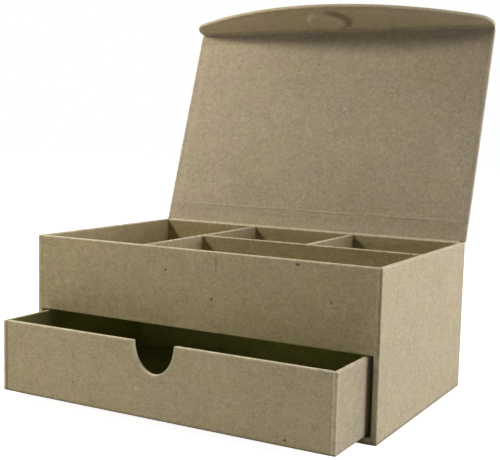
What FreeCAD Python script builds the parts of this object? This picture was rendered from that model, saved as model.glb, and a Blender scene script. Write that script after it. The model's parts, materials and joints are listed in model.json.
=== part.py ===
import FreeCAD, Part
import math
import os

V = FreeCAD.Vector

# A jewellery box of wrapped greyboard: a divided tray under a hinged lid with a magnetic front
# flap, over one pull-out drawer. Millimetres. X runs along the front, Y to the back, Z up, and
# the origin is the middle of the base's underside. The lid is open, its flap folded in, and the
# drawer part pulled out.

# Case, over its walls
case_width = 240.0
case_depth = 150.0
case_height = 98.0
wall_thick = 3.5
base_thick = 4.0
tray_floor_thick = 2.8
bay_top = 49.6

# Tray dividers
divider_thick = 2.2
divider_drop = 0.3
front_row_depth = 68.4

# Drawer and its clearances in the bay
drawer_thick = 3.0
drawer_floor_thick = 2.5
drawer_side_gap = 3.25
drawer_top_gap = 0.9
drawer_foot_gap = 0.4
drawer_rear_gap = 1.5
drawer_pull = 39.5
notch_half_width = 14.0
notch_depth = 18.3
notch_offset = -0.8

# Lid and flap
lid_thick = 2.5
lid_opening = 107.8
lid_seat_gap = 0.6
flap_depth = 39.0
flap_end_depth = 13.0
flap_corner = 10.0
flap_fold = 87.0
flap_standoff = 3.5
fold_board_gap = 0.8

# Covering paper: linings and hinge strips
paper_thick = 0.3
glue_line = 0.05
lining_inset = 2.5
strip_end_gap = 0.5
hinge_reach_lid = 13.0
hinge_reach_wall = 8.0
hinge_bridge_gap = 0.2
spine_reach = 18.0
fold_reach_lid = 10.0
fold_back_reach_lid = 16.0
fold_back_reach_flap = 5.5

# Magnetic clasp
magnet_radius = 11.0
magnet_thick = 1.8
magnet_fit = 0.1
magnet_from_fold = 18.8
boss_shoulder = 3.0
boss_margin = 0.8
keeper_thick = 1.5
keeper_fit = 0.1
keeper_skin = 0.5

# Roundings of the wrapped edges
wall_round = 0.8
seam_round = 0.35
divider_round = 0.7
lid_round = 0.8
drawer_round = 0.7
notch_corner = 1.2
notch_rim = 0.5
disc_bevel = 0.3

# Places worked out from the sizes above
side = case_width / 2
front = -case_depth / 2
back = case_depth / 2
inner_side = side - wall_thick
inner_front = front + wall_thick
inner_back = back - wall_thick
tray_bottom = bay_top + tray_floor_thick
divider_top = case_height - divider_drop
strip_face = inner_back - glue_line - paper_thick
column_width = (2 * inner_side - 2 * divider_thick) / 3
divider_x = (column_width + divider_thick) / 2
long_divider_front = inner_front + front_row_depth
long_divider_back = long_divider_front + divider_thick

drawer_side = inner_side - drawer_side_gap
drawer_inner_side = drawer_side - drawer_thick
drawer_bottom_z = base_thick + drawer_foot_gap
drawer_top_z = bay_top - drawer_top_gap
drawer_front_y = front - drawer_pull
drawer_back_y = inner_back - drawer_rear_gap - drawer_pull

lid_inner_z = case_height + lid_seat_gap
lid_outer_z = lid_inner_z + lid_thick
strip_skin = glue_line + paper_thick
hinge_line = V(0, back + strip_skin, case_height + lid_seat_gap / 2)
fold_paper = glue_line + paper_thick / 2
fold_line = V(0, front - flap_standoff + fold_paper, lid_inner_z - fold_paper)
half_opening = math.radians(lid_opening / 2)
hinge_drop = lid_seat_gap / 2 - glue_line
hinge_bridge = paper_thick + hinge_bridge_gap + hinge_drop * math.sin(half_opening)
hinge_lift_off = hinge_bridge / math.cos(half_opening)
flap_corner_y = fold_line.y - flap_end_depth
keeper_z = fold_line.z - magnet_from_fold
magnet_y = fold_line.y - magnet_from_fold
boss_radius = magnet_radius + boss_shoulder
fold_reach_flap = magnet_from_fold - boss_radius - boss_margin


def board(low, high):
    """Return a flat board between its lowest and its highest corner."""
    return Part.makeBox(high.x - low.x, high.y - low.y, high.z - low.z, low)


def rounded(solid, radius, *places):
    """Round the edges of a solid whose middles lie at one of the places.

    A place is (x, y, z), where None stands for any value.
    """
    def lies_at(point, place):
        return all(want is None or abs(have - want) < 0.01 for have, want in zip(point, place))
    edges = [edge for edge in solid.Edges if any(lies_at(edge.CenterOfMass, place) for place in places)]
    return solid.makeFillet(radius, edges)


def opened(shape):
    """Turn a shape that rides on the lid from its closed place to the open one."""
    return shape.rotated(hinge_line, V(-1, 0, 0), lid_opening)


def folded(shape):
    """Fold a shape that rides on the flap in from the plane of the lid, then open it with the lid."""
    return opened(shape.rotated(fold_line, V(1, 0, 0), flap_fold))


def opened_point(y, z):
    """Return where a point of the closed lid lies when the lid is open, in the plane across the box."""
    turn = FreeCAD.Rotation(V(-1, 0, 0), lid_opening)
    return hinge_line + turn.multVec(V(0, y, z) - hinge_line)


def rounded_path(points, radii):
    """Return an open wire through points, with each corner rounded by its radius, 0 for a sharp one."""
    edges = []
    here = points[0]
    for corner, after, radius in zip(points[1:], points[2:], radii):
        backward = (here - corner).normalize()
        onward = (after - corner).normalize()
        half_angle = backward.getAngle(onward) / 2
        reach = radius / math.tan(half_angle)
        arc_start = corner + backward * reach
        arc_end = corner + onward * reach
        edges.append(Part.LineSegment(here, arc_start).toShape())
        if radius > 0:
            inward = (backward + onward).normalize()
            arc_middle = corner + inward * (radius / math.sin(half_angle) - radius)
            edges.append(Part.Arc(arc_start, arc_middle, arc_end).toShape())
        here = arc_end
    edges.append(Part.LineSegment(here, points[-1]).toShape())
    return Part.Wire(edges)


def paper_strip(outline, half_width, paper_side):
    """Return a paper strip as wide as the box: its seen face follows the outline.

    paper_side is 1 where the paper lies to the right of the outline and -1 to the left.
    """
    section = outline.makeOffset2D(paper_side * paper_thick, 0, True, True)
    section.translate(V(-half_width, 0, 0))
    return section.extrude(V(2 * half_width, 0, 0))


def base_board():
    """Return the case's floor, between the walls, which stands on the table."""
    base = board(V(-inner_side, front, 0), V(inner_side, inner_back, base_thick))
    return rounded(base, wall_round, (0, front, None))


def side_wall(sign):
    """Return the case's left or right wall, full depth and height."""
    inner = sign * inner_side
    outer = sign * side
    wall = board(V(min(inner, outer), front, 0), V(max(inner, outer), back, case_height))
    wall = rounded(wall, wall_round, (outer, None, None), (None, None, case_height))
    return rounded(wall, seam_round, (inner, front, None), (inner, back, None))


def back_wall():
    """Return the back wall, whose top edge carries the paper hinge."""
    wall = board(V(-inner_side, inner_back, 0), V(inner_side, back, case_height))
    return rounded(wall, wall_round, (0, None, case_height))


def front_panel():
    """Return the fixed front above the drawer, with the keeper's pocket in its inner face."""
    panel = board(V(-inner_side, front, bay_top), V(inner_side, inner_front, case_height))
    panel = rounded(panel, wall_round, (0, None, case_height), (0, front, bay_top))
    pocket_floor = V(0, front + keeper_skin, keeper_z)
    pocket_depth = wall_thick - keeper_skin
    return panel.cut(Part.makeCylinder(magnet_radius + keeper_fit, pocket_depth, pocket_floor, V(0, 1, 0)))


def disc(thick, foot, axis):
    """Return a steel disc of the clasp, with the rim of its far face bevelled."""
    body = Part.makeCylinder(magnet_radius, thick - disc_bevel, foot, axis)
    bevel_foot = foot + axis * (thick - disc_bevel)
    return body.fuse(Part.makeCone(magnet_radius, magnet_radius - disc_bevel, disc_bevel, bevel_foot, axis))


def keeper_plate():
    """Return the steel disc on the floor of the front panel's pocket."""
    return disc(keeper_thick, V(0, front + keeper_skin, keeper_z), V(0, 1, 0))


def keeper_plug():
    """Return the board disc that fills the pocket over the keeper, flush with the panel."""
    plug_front = front + keeper_skin + keeper_thick
    return Part.makeCylinder(magnet_radius, inner_front - plug_front, V(0, plug_front, keeper_z), V(0, 1, 0))


def tray_floor():
    """Return the tray's floor, which also roofs the drawer's bay."""
    return board(V(-inner_side, inner_front, bay_top), V(inner_side, inner_back, tray_bottom))


def cross_divider(centre_x, front_y):
    """Return a divider that runs back to the rear wall's paper, with its top edges rounded."""
    low = V(centre_x - divider_thick / 2, front_y, tray_bottom)
    high = V(centre_x + divider_thick / 2, strip_face, divider_top)
    return rounded(board(low, high), divider_round, (None, (low.y + high.y) / 2, divider_top))


def long_divider():
    """Return the divider along the box, from the main divider to the right wall."""
    low = V(-divider_x + divider_thick / 2, long_divider_front, tray_bottom)
    high = V(inner_side, long_divider_back, divider_top)
    return rounded(board(low, high), divider_round, ((low.x + high.x) / 2, None, divider_top))


def hinge_strip():
    """Return the inner paper hinge: over the back wall's top edge and up the lid, taut when open."""
    top_face = case_height + strip_skin
    lid_face = lid_inner_z - strip_skin
    outline = rounded_path(
        [
            V(0, strip_face, case_height - hinge_reach_wall),
            V(0, strip_face, top_face),
            V(0, hinge_line.y - hinge_lift_off, top_face),
            opened_point(hinge_line.y - hinge_lift_off, lid_face),
            opened_point(hinge_line.y - hinge_reach_lid, lid_face),
        ],
        [wall_round + strip_skin, paper_thick, paper_thick],
    )
    return paper_strip(outline, inner_side - strip_end_gap, 1)


def spine_strip():
    """Return the outer paper hinge: up the back wall, round the lid's rear edge and over the lid."""
    lid_face = lid_outer_z + strip_skin
    outline = rounded_path(
        [
            V(0, hinge_line.y, case_height - spine_reach),
            hinge_line,
            opened_point(hinge_line.y, lid_face),
            opened_point(hinge_line.y - spine_reach, lid_face),
        ],
        [0, lid_round + strip_skin],
    )
    return paper_strip(outline, side - strip_end_gap, -1)


def lid_board():
    """Return the lid's large leaf, from its rear edge over the back wall to the flap's fold."""
    leaf = board(V(-side, fold_line.y + fold_board_gap, lid_inner_z), V(side, back, lid_outer_z))
    return opened(leaf.makeFillet(lid_round, leaf.Edges))


def lid_lining():
    """Return the paper sheet on the lid's inner face, between the two inner strips."""
    low = V(-side + lining_inset, fold_line.y + fold_reach_lid, lid_inner_z - strip_skin)
    high = V(side - lining_inset, hinge_line.y - hinge_reach_lid - strip_end_gap, lid_inner_z - glue_line)
    return opened(board(low, high))


def fold_path(corner, lid_reach, flap_reach, radius):
    """Return a path over the fold: along the lid, round a corner and along the folded flap."""
    turn = math.radians(flap_fold)
    flap_way = V(0, -math.cos(turn), -math.sin(turn))
    return rounded_path([corner + V(0, lid_reach, 0), corner, corner + flap_way * flap_reach], [radius])


def fold_strip_outer():
    """Return the outer paper fold, an arc about the fold line from the lid to the flap."""
    bend = lid_outer_z + strip_skin - fold_line.z
    overhang = bend * math.tan(math.radians(flap_fold) / 2)
    corner = fold_line + V(0, -overhang, bend)
    path = fold_path(corner, fold_back_reach_lid + overhang, fold_back_reach_flap + overhang, bend)
    return opened(paper_strip(path, side - strip_end_gap, -1))


def fold_strip_inner():
    """Return the inner paper fold, along the fold line between the two linings."""
    bend = paper_thick / 2
    overhang = bend * math.tan(math.radians(flap_fold) / 2)
    corner = fold_line + V(0, overhang, -bend)
    path = fold_path(corner, fold_reach_lid - strip_end_gap - overhang, fold_reach_flap - overhang, 0)
    return opened(paper_strip(path, side - lining_inset, 1))


def flap_leaf(inset, low_z, thick):
    """Return a plate of the flap's outline: straight at the fold, and one long arc outside."""
    half = side - inset
    fold_y = fold_line.y - fold_board_gap
    left_end = V(-half, flap_corner_y + inset, low_z)
    right_end = V(half, flap_corner_y + inset, low_z)
    outline = Part.Wire([
        Part.LineSegment(V(half, fold_y, low_z), V(-half, fold_y, low_z)).toShape(),
        Part.LineSegment(V(-half, fold_y, low_z), left_end).toShape(),
        Part.Arc(left_end, V(0, fold_line.y - flap_depth + inset, low_z), right_end).toShape(),
        Part.LineSegment(right_end, V(half, fold_y, low_z)).toShape(),
    ])
    leaf = Part.Face(outline).extrude(V(0, 0, thick))
    return rounded(leaf, flap_corner - inset, (-half, left_end.y, None), (half, right_end.y, None))


def flap_board():
    """Return the flap's board, with every edge rounded."""
    leaf = flap_leaf(0, lid_inner_z, lid_thick)
    return folded(leaf.makeFillet(lid_round, leaf.Edges))


def boss_slope(top):
    """Return the side of the magnet's boss as two tangent arcs, from its flat top down to the sheet."""
    run = boss_shoulder / 2
    drop = magnet_thick / 2
    radius = (run ** 2 + drop ** 2) / (2 * drop)
    sag = radius - math.sqrt(radius ** 2 - (run / 2) ** 2)
    waist = V(magnet_radius + run, 0, top + drop)
    foot = V(boss_radius, 0, top + magnet_thick)
    upper = Part.Arc(V(magnet_radius, 0, top), V(magnet_radius + run / 2, 0, top + sag), waist)
    lower = Part.Arc(waist, V(boss_radius - run / 2, 0, foot.z - sag), foot)
    return [upper.toShape(), lower.toShape()]


def boss():
    """Return the paper drawn over the magnet: a shallow round boss, its shoulder filled with glue."""
    pocket = magnet_radius + magnet_fit
    inside = lid_inner_z - glue_line - magnet_thick
    outside = inside - paper_thick
    sheet = lid_inner_z - glue_line
    corners = [
        V(boss_radius, 0, sheet - paper_thick),
        V(boss_radius, 0, sheet),
        V(pocket, 0, sheet),
        V(pocket, 0, inside),
        V(0, 0, inside),
        V(0, 0, outside),
        V(magnet_radius, 0, outside),
    ]
    edges = boss_slope(outside)
    edges += [Part.LineSegment(here, there).toShape() for here, there in zip(corners, corners[1:])]
    section = Part.Face(Part.Wire(Part.sortEdges(edges)[0]))
    shell = section.revolve(V(0, 0, 0), V(0, 0, 1), 360)
    shell.translate(V(0, magnet_y, 0))
    return shell


def flap_lining():
    """Return the flap's inner paper: a sheet inside the board's edge, raised over the magnet."""
    low_z = lid_inner_z - strip_skin
    sheet = flap_leaf(lining_inset, low_z, paper_thick)
    trim_y = fold_line.y - fold_reach_flap - strip_end_gap
    sheet = sheet.cut(board(V(-side, trim_y, low_z), V(side, fold_line.y, lid_inner_z)))
    sheet = sheet.cut(Part.makeCylinder(boss_radius, paper_thick, V(0, magnet_y, low_z)))
    return folded(sheet.fuse(boss()).removeSplitter())


def clasp_magnet():
    """Return the disc magnet that lies on the flap's board under the paper."""
    return folded(disc(magnet_thick, V(0, magnet_y, lid_inner_z), V(0, 0, -1)))


def drawer_side_board(sign):
    """Return the drawer's left or right board, whose end shows at the front corner."""
    inner = sign * drawer_inner_side
    outer = sign * drawer_side
    low = V(min(inner, outer), drawer_front_y, drawer_bottom_z)
    high = V(max(inner, outer), drawer_back_y, drawer_top_z)
    wall = rounded(board(low, high), drawer_round, (outer, None, None), (None, None, drawer_top_z))
    return rounded(wall, seam_round, (inner, drawer_front_y, None))


def drawer_end_board(low_y):
    """Return a board across the drawer, between its side boards."""
    low = V(-drawer_inner_side, low_y, drawer_bottom_z)
    high = V(drawer_inner_side, low_y + drawer_thick, drawer_top_z)
    return board(low, high)


def drawer_front():
    """Return the drawer's front, with the oval thumb notch in its top edge."""
    panel = drawer_end_board(drawer_front_y)
    centre = V(notch_offset, drawer_front_y, drawer_top_z)
    oval = Part.Ellipse(centre + V(0, 0, notch_depth), centre + V(notch_half_width, 0, 0), centre)
    notch = Part.Face(Part.Wire([oval.toShape()])).extrude(V(0, drawer_thick, 0))
    panel = panel.cut(notch)
    left_lip = (notch_offset - notch_half_width, None, drawer_top_z)
    right_lip = (notch_offset + notch_half_width, None, drawer_top_z)
    panel = rounded(panel, notch_corner, left_lip, right_lip)
    panel = rounded(panel, notch_rim, (None, drawer_front_y, drawer_top_z))
    return rounded(panel, drawer_round, (0, drawer_front_y, drawer_bottom_z))


def drawer_back():
    """Return the drawer's back board."""
    panel = drawer_end_board(drawer_back_y - drawer_thick)
    return rounded(panel, drawer_round, (0, None, drawer_top_z), (0, drawer_back_y, drawer_bottom_z))


def drawer_bottom():
    """Return the drawer's floor, between its four boards."""
    low = V(-drawer_inner_side, drawer_front_y + drawer_thick, drawer_bottom_z)
    high = V(drawer_inner_side, drawer_back_y - drawer_thick, drawer_bottom_z + drawer_floor_thick)
    return board(low, high)


case = {
    "base_board": base_board(),
    "left_wall": side_wall(-1),
    "right_wall": side_wall(1),
    "back_wall": back_wall(),
    "front_panel": front_panel(),
    "keeper_plate": keeper_plate(),
    "keeper_plug": keeper_plug(),
    "tray_floor": tray_floor(),
    "main_divider": cross_divider(-divider_x, inner_front),
    "short_divider": cross_divider(divider_x, long_divider_back),
    "long_divider": long_divider(),
    "hinge_strip": hinge_strip(),
    "spine_strip": spine_strip(),
}
lid = {
    "lid_board": lid_board(),
    "lid_lining": lid_lining(),
    "fold_strip_outer": fold_strip_outer(),
    "fold_strip_inner": fold_strip_inner(),
}
flap = {
    "flap_board": flap_board(),
    "flap_lining": flap_lining(),
    "clasp_magnet": clasp_magnet(),
}
drawer = {
    "drawer_front": drawer_front(),
    "drawer_back": drawer_back(),
    "drawer_left": drawer_side_board(-1),
    "drawer_right": drawer_side_board(1),
    "drawer_bottom": drawer_bottom(),
}

os.makedirs("parts", exist_ok=True)
for group in (case, lid, flap, drawer):
    for name, shape in group.items():
        shape.exportStep("parts/" + name + ".step")
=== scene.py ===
"""The looks of a kraft paper jewellery box: wrapped boards, papered lid and flap, hinges and drawer.

Lengths in the classes are millimetres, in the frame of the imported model; meshes are written in metres.
"""

import json
import logging
import math
from dataclasses import dataclass, field
from enum import Enum
from typing import Callable, Optional, Sequence

import bmesh
import bpy
import numpy as np
from mathutils import Matrix, Vector, kdtree, noise


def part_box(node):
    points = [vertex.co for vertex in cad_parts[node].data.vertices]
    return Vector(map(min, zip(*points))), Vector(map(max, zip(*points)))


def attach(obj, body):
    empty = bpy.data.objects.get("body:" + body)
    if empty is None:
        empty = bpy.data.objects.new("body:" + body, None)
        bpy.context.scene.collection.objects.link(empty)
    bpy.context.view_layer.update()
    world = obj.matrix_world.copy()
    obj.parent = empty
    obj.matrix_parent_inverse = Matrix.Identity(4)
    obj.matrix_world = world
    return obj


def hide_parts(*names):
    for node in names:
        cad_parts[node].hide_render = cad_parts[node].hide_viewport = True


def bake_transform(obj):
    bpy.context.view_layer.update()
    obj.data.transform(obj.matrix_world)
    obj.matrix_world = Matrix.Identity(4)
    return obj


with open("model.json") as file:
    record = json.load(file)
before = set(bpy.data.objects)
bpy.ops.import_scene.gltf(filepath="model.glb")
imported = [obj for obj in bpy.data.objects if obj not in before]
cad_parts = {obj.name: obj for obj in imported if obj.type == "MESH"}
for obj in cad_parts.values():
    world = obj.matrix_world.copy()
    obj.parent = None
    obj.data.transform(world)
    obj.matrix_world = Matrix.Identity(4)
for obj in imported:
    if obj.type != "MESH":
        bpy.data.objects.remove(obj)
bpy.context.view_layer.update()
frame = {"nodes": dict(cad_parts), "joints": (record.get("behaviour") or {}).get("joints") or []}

MM = 0.001
LOG = logging.getLogger("jewellery_box")
# Layers per vertex for the finish: edge wear with a painted highlight along top edges, and painted shade.
WEAR_AND_HIGHLIGHT_LAYER = "edge_wear_and_highlight"
SHADE_LAYER = "painted_shade"
# Grid positions next to a rounding, and on both sides of a place that needs close spacing.
EASE_STEPS = (0.35, 0.9, 1.7, 3.0)
FOCUS_STEPS = (0.0, 0.06, 0.16, 0.32, 0.55, 0.85, 1.25, 1.8, 2.6)
ARC_POINTS = 9
AXIS_WAY = {"x": Vector((1, 0, 0)), "y": Vector((0, 1, 0)), "z": Vector((0, 0, 1))}

Tree = bpy.types.NodeTree
Node = bpy.types.Node
Socket = bpy.types.NodeSocket
Finish = bpy.types.Material
Mesh = bpy.types.Mesh
Piece = bpy.types.Object
Colour = tuple[float, float, float]
Relief = Callable[[np.ndarray], np.ndarray]


class Tone(Enum):
    """The tones that the covering papers of the box come in; the tray's is darkened and the inside's tinted
    olive as painted shade.
    """

    OUTER = (0.502, 0.428, 0.290)
    LID = (0.476, 0.416, 0.324)
    FLAP = (0.490, 0.420, 0.290)
    # Darker than the outer paper: painted shade inside the tray.
    TRAY_SHADED = (0.400, 0.335, 0.200)
    DRAWER = (0.512, 0.440, 0.306)
    # Olive tint standing in for the colour of deep shade inside the drawer: painted shade.
    INSIDE = (0.480, 0.490, 0.200)


def smooth(value: np.ndarray) -> np.ndarray:
    """Return the smoothstep of values that are first held between 0 and 1."""
    held = np.clip(value, 0.0, 1.0)
    return held * held * (3.0 - 2.0 * held)


def wire(tree: Tree, source: object, target: Socket) -> None:
    """Link a socket or a node's first output to a target, or write a plain value on it."""
    if isinstance(source, Node):
        source = source.outputs[0]
    if isinstance(source, Socket):
        tree.links.new(source, target)
    else:
        target.default_value = source


def node_of(tree: Tree, kind: str, inputs: Optional[dict[object, object]] = None,
            **settings: object) -> Node:
    """Add a node of a kind to a tree, with its properties and its inputs.

    Args:
        tree: The shader or geometry tree.
        kind: The node's identifier.
        inputs: A socket, a node or a plain value for its inputs, by their name or number.
        settings: Properties of the node by name.

    Returns:
        The new node.
    """
    node = tree.nodes.new(kind)
    for name, value in settings.items():
        setattr(node, name, value)
    for key, source in (inputs or {}).items():
        wire(tree, source, node.inputs[key])
    return node


def arithmetic(tree: Tree, action: str, *terms: object, clamp: bool = False) -> Socket:
    """Add a math node on numbers and return its result, held between 0 and 1 if asked."""
    inputs = dict(enumerate(terms))
    return node_of(tree, "ShaderNodeMath", inputs, operation=action, use_clamp=clamp).outputs[0]


def blended(tree: Tree, share: object, first: object, second: object, mode: str = "MIX") -> Socket:
    """Add a colour mix node and return its result.

    Args:
        tree: The shader tree.
        share: How much of the second colour is used, a number or a socket.
        first: The colour at share 0.
        second: The colour at share 1.
        mode: The blending mode.

    Returns:
        The mixed colour's socket.
    """
    inputs = {0: share, 6: first, 7: second}
    return node_of(tree, "ShaderNodeMix", inputs, data_type="RGBA", blend_type=mode).outputs[2]


def new_finish(name: str) -> tuple[Finish, Tree, Node]:
    """Make a material and return it with its tree and its shader."""
    material = bpy.data.materials.new(name)
    material.use_nodes = True
    return material, material.node_tree, material.node_tree.nodes["Principled BSDF"]


def own_place(tree: Tree) -> Socket:
    """Return the object's own coordinates, which every pattern follows."""
    return node_of(tree, "ShaderNodeTexCoord").outputs["Object"]


def plain_noise(tree: Tree, size: float) -> Socket:
    """Return a noise between 0 and 1 whose clouds have a size in millimetres."""
    inputs = {"Vector": own_place(tree), "Scale": 1.0 / (size * MM)}
    return node_of(tree, "ShaderNodeTexNoise", inputs).outputs["Fac"]


def stored(tree: Tree, layer: str) -> Socket:
    """Return the number that a layer holds for each vertex."""
    return node_of(tree, "ShaderNodeAttribute", attribute_name=layer).outputs["Fac"]


@dataclass(frozen=True)
class KraftPaper:
    """Brown recycled paper: clouded, speckled with pale and dark fibre, paler along worn edges and with a
    painted highlight along top edges, and darkened where painted shade is stored.
    """

    name: str
    tone: Tone
    clouding: float = 0.12
    cloud_size: float = 22.0
    blush: float = 0.55
    blush_size: float = 30.0
    clump: float = 0.24
    clump_size: float = 3.2
    grain: float = 0.42
    grain_size: float = 1.05
    curl: float = 0.7
    streak: float = 0.06
    pale_fleck: float = 0.50
    dark_fleck: float = 0.60
    # Strength of the edge wear and of the painted highlight along top edges.
    worn_and_lit: float = 0.80
    # Strength of the painted shade stored per vertex.
    shade_strength: float = 0.70
    roughness: float = 0.86
    tooth: float = 0.06
    olive: Colour = (0.985, 1.005, 0.95)
    warm: Colour = (1.02, 0.985, 1.07)
    pale: Colour = (0.80, 0.74, 0.60)
    dark: Colour = (0.13, 0.10, 0.06)
    rubbed_and_lit: Colour = (0.80, 0.74, 0.58)

    def cloud(self, tree: Tree, size: float, detail: float,
              stretch: Sequence[float] = (1.0, 1.0, 1.0)) -> Socket:
        """Return a noise about 0, between -1 and 1.

        Args:
            tree: The shader tree.
            size: The size of a cloud in millimetres.
            detail: How many finer layers it has.
            stretch: How much longer a cloud is along each axis.

        Returns:
            The noise's socket.
        """
        scale = [1.0 / (size * MM * share) for share in stretch]
        mapping = node_of(tree, "ShaderNodeMapping", {"Vector": own_place(tree), "Scale": scale})
        texture = node_of(tree, "ShaderNodeTexNoise", {
            "Vector": mapping, "Scale": 1.0, "Detail": detail,
            "Roughness": 0.62, "Distortion": self.curl,
        })
        centred = arithmetic(tree, "SUBTRACT", texture.outputs["Fac"], 0.5)
        return arithmetic(tree, "MULTIPLY", centred, 2.0)

    def fleck(self, tree: Tree, spacing: float, size: float, rarity: float, shift: float) -> Socket:
        """Return a mask of small separate flecks.

        Args:
            tree: The shader tree.
            spacing: The size of the cell that may hold one fleck, in millimetres.
            size: The radius of a fleck as a share of the spacing.
            rarity: The share of cells that stay empty.
            shift: Moves the pattern, so that two kinds don't coincide.

        Returns:
            The mask's socket, 1 in the middle of a fleck.
        """
        mapping = node_of(tree, "ShaderNodeMapping", {
            "Vector": own_place(tree), "Scale": [1.0 / (spacing * MM)] * 3,
            "Location": [shift] * 3, "Rotation": [0.4 * shift] * 3,
        })
        cells = node_of(tree, "ShaderNodeTexVoronoi", {"Vector": mapping, "Scale": 1.0})
        near = arithmetic(tree, "SUBTRACT", size, cells.outputs["Distance"])
        core = arithmetic(tree, "MULTIPLY", near, 2.2 / size, clamp=True)
        split = node_of(tree, "ShaderNodeSeparateColor", {0: cells.outputs["Color"]})
        chosen = arithmetic(tree, "GREATER_THAN", split, rarity)
        return arithmetic(tree, "MULTIPLY", core, chosen)

    def tinted(self, way: Colour) -> tuple[float, ...]:
        """Return the paper's tone, turned a little towards olive or a warm brown."""
        return (*(part * share for part, share in zip(self.tone.value, way)), 1.0)

    def ground(self, tree: Tree, clumps: Socket, grain: Socket) -> Socket:
        """Return the paper's clouded colour, before its flecks, wear and soiling.

        Args:
            tree: The shader tree.
            clumps: The noise of its clumps.
            grain: The noise of its grain.

        Returns:
            The colour's socket.
        """
        layers = (
            (self.cloud(tree, self.cloud_size, 3.0), self.clouding),
            (clumps, self.clump),
            (grain, self.grain),
            (self.cloud(tree, self.grain_size * 1.4, 1.0, (9.0, 9.0, 1.0)), self.streak),
        )
        shade = 1.0
        for layer, share in layers:
            shade = arithmetic(tree, "ADD", arithmetic(tree, "MULTIPLY", layer, share), shade)
        tint = node_of(tree, "ShaderNodeCombineColor", {0: shade, 1: shade, 2: shade})
        blush = self.cloud(tree, self.blush_size, 1.0, (1.0, 1.0, 0.7))
        rosy = arithmetic(tree, "MULTIPLY_ADD", blush, 2.2, 0.5, clamp=True)
        share = arithmetic(tree, "MULTIPLY", rosy, self.blush)
        base = blended(tree, share, self.tinted(self.olive), self.tinted(self.warm))
        return blended(tree, 1.0, base, tint, "MULTIPLY")

    def build(self) -> Finish:
        """Make and return the paper's material, whose patterns follow the object's coordinates."""
        material, tree, shader = new_finish(self.name)
        clumps = self.cloud(tree, self.clump_size, 2.0)
        grain = self.cloud(tree, self.grain_size, 2.0)
        colour = self.ground(tree, clumps, grain)
        patchy = arithmetic(tree, "ADD", clumps, 0.75, clamp=True)
        worn_and_lit = arithmetic(tree, "MULTIPLY", stored(tree, WEAR_AND_HIGHLIGHT_LAYER), patchy)
        coats = (
            (self.fleck(tree, spacing=2.3, size=0.20, rarity=0.72, shift=0.0), self.pale_fleck, self.pale),
            (self.fleck(tree, spacing=3.1, size=0.13, rarity=0.74, shift=3.7), self.dark_fleck, self.dark),
            # Edge wear with the painted highlight of top edges, then painted shade where a piece stores it.
            (worn_and_lit, self.worn_and_lit, self.rubbed_and_lit),
            (stored(tree, SHADE_LAYER), self.shade_strength, self.dark),
        )
        for mask, strength, coat in coats:
            colour = blended(tree, arithmetic(tree, "MULTIPLY", mask, strength), colour, (*coat, 1.0))
        wire(tree, colour, shader.inputs["Base Color"])
        shine = arithmetic(tree, "MULTIPLY", clumps, 0.05)
        wire(tree, arithmetic(tree, "ADD", shine, self.roughness), shader.inputs["Roughness"])
        shader.inputs["Specular IOR Level"].default_value = 0.22
        height = arithmetic(tree, "ADD", grain, arithmetic(tree, "MULTIPLY", clumps, 0.8))
        bump = node_of(tree, "ShaderNodeBump", {
            "Strength": 0.55, "Distance": self.tooth * MM, "Height": height,
        })
        wire(tree, bump, shader.inputs["Normal"])
        return material


@dataclass(frozen=True)
class PlatedSteel:
    """Plain plated steel with a faint turned grain, for the discs of the clasp."""

    name: str = "plated_steel"
    colour: Colour = (0.56, 0.56, 0.55)
    roughness: float = 0.32
    grain_size: float = 1.2
    grain_colour: Colour = (0.48, 0.48, 0.47)

    def build(self) -> Finish:
        """Make and return the steel's material."""
        material, tree, shader = new_finish(self.name)
        grain = plain_noise(tree, self.grain_size)
        spread = arithmetic(tree, "MULTIPLY", grain, 0.15)
        wire(tree, arithmetic(tree, "ADD", spread, self.roughness), shader.inputs["Roughness"])
        shade = blended(tree, grain, (*self.colour, 1.0), (*self.grain_colour, 1.0))
        wire(tree, shade, shader.inputs["Base Color"])
        shader.inputs["Metallic"].default_value = 1.0
        return material


@dataclass(frozen=True)
class Fibre:
    """Loose fibre in the paper's surface, pale straw or dark bark."""

    name: str
    colour: Colour
    shade_size: float = 1.5
    shade: float = 0.7

    def build(self) -> Finish:
        """Make and return the fibre's material, with a slight change of shade along it."""
        material, tree, shader = new_finish(self.name)
        deep = tuple(self.shade * part for part in self.colour)
        noise_share = plain_noise(tree, self.shade_size)
        colour = blended(tree, noise_share, (*self.colour, 1.0), (*deep, 1.0))
        wire(tree, colour, shader.inputs["Base Color"])
        shader.inputs["Roughness"].default_value = 0.9
        return material


@dataclass(frozen=True)
class Stock:
    """The sizes of boards and papers that several pieces share."""

    half_width: float = 120.0
    wall: float = 3.5
    lid_thick: float = 2.5
    edge_round: float = 0.8
    hidden_round: float = 0.1
    fold_gap: float = 0.8
    seat: float = 0.3
    paper: float = 0.3
    glue: float = 0.05
    inset: float = 2.5

    @property
    def skin(self) -> float:
        """Return how far a glued sheet's seen face lies off its board."""
        return self.paper + self.glue


STOCK = Stock()


@dataclass(frozen=True)
class Placement:
    """Where a plate's own axes lie: along it, up it and through it, in millimetres."""

    origin: Vector
    along: Vector
    up: Vector
    through: Vector

    def world(self, points: np.ndarray) -> np.ndarray:
        """Turn plate coordinates into the frame's.

        Args:
            points: Rows of (along, up, through).

        Returns:
            Rows of (x, y, z), in millimetres.
        """
        axes = np.array([self.along, self.up, self.through], float)
        return points @ axes + np.array(self.origin, float)


@dataclass(frozen=True)
class Rounds:
    """One measure for each edge of a face, its radius or its wear with painted highlight: start, end, foot
    and head.
    """

    start: float
    end: float
    foot: float
    head: float

    @classmethod
    def even(cls, measure: float, **others: float) -> "Rounds":
        """Return the same measure for the four edges, but for those named."""
        return cls(**{"start": measure, "end": measure, "foot": measure, "head": measure, **others})


# Light wear on every edge; the full value on the head, the top edge of an upright board, is a painted
# highlight where light from above catches it.
BOARD_WEAR_AND_TOP_HIGHLIGHT = Rounds.even(0.25, head=1.0)
NO_WEAR = Rounds.even(0.0)


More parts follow.
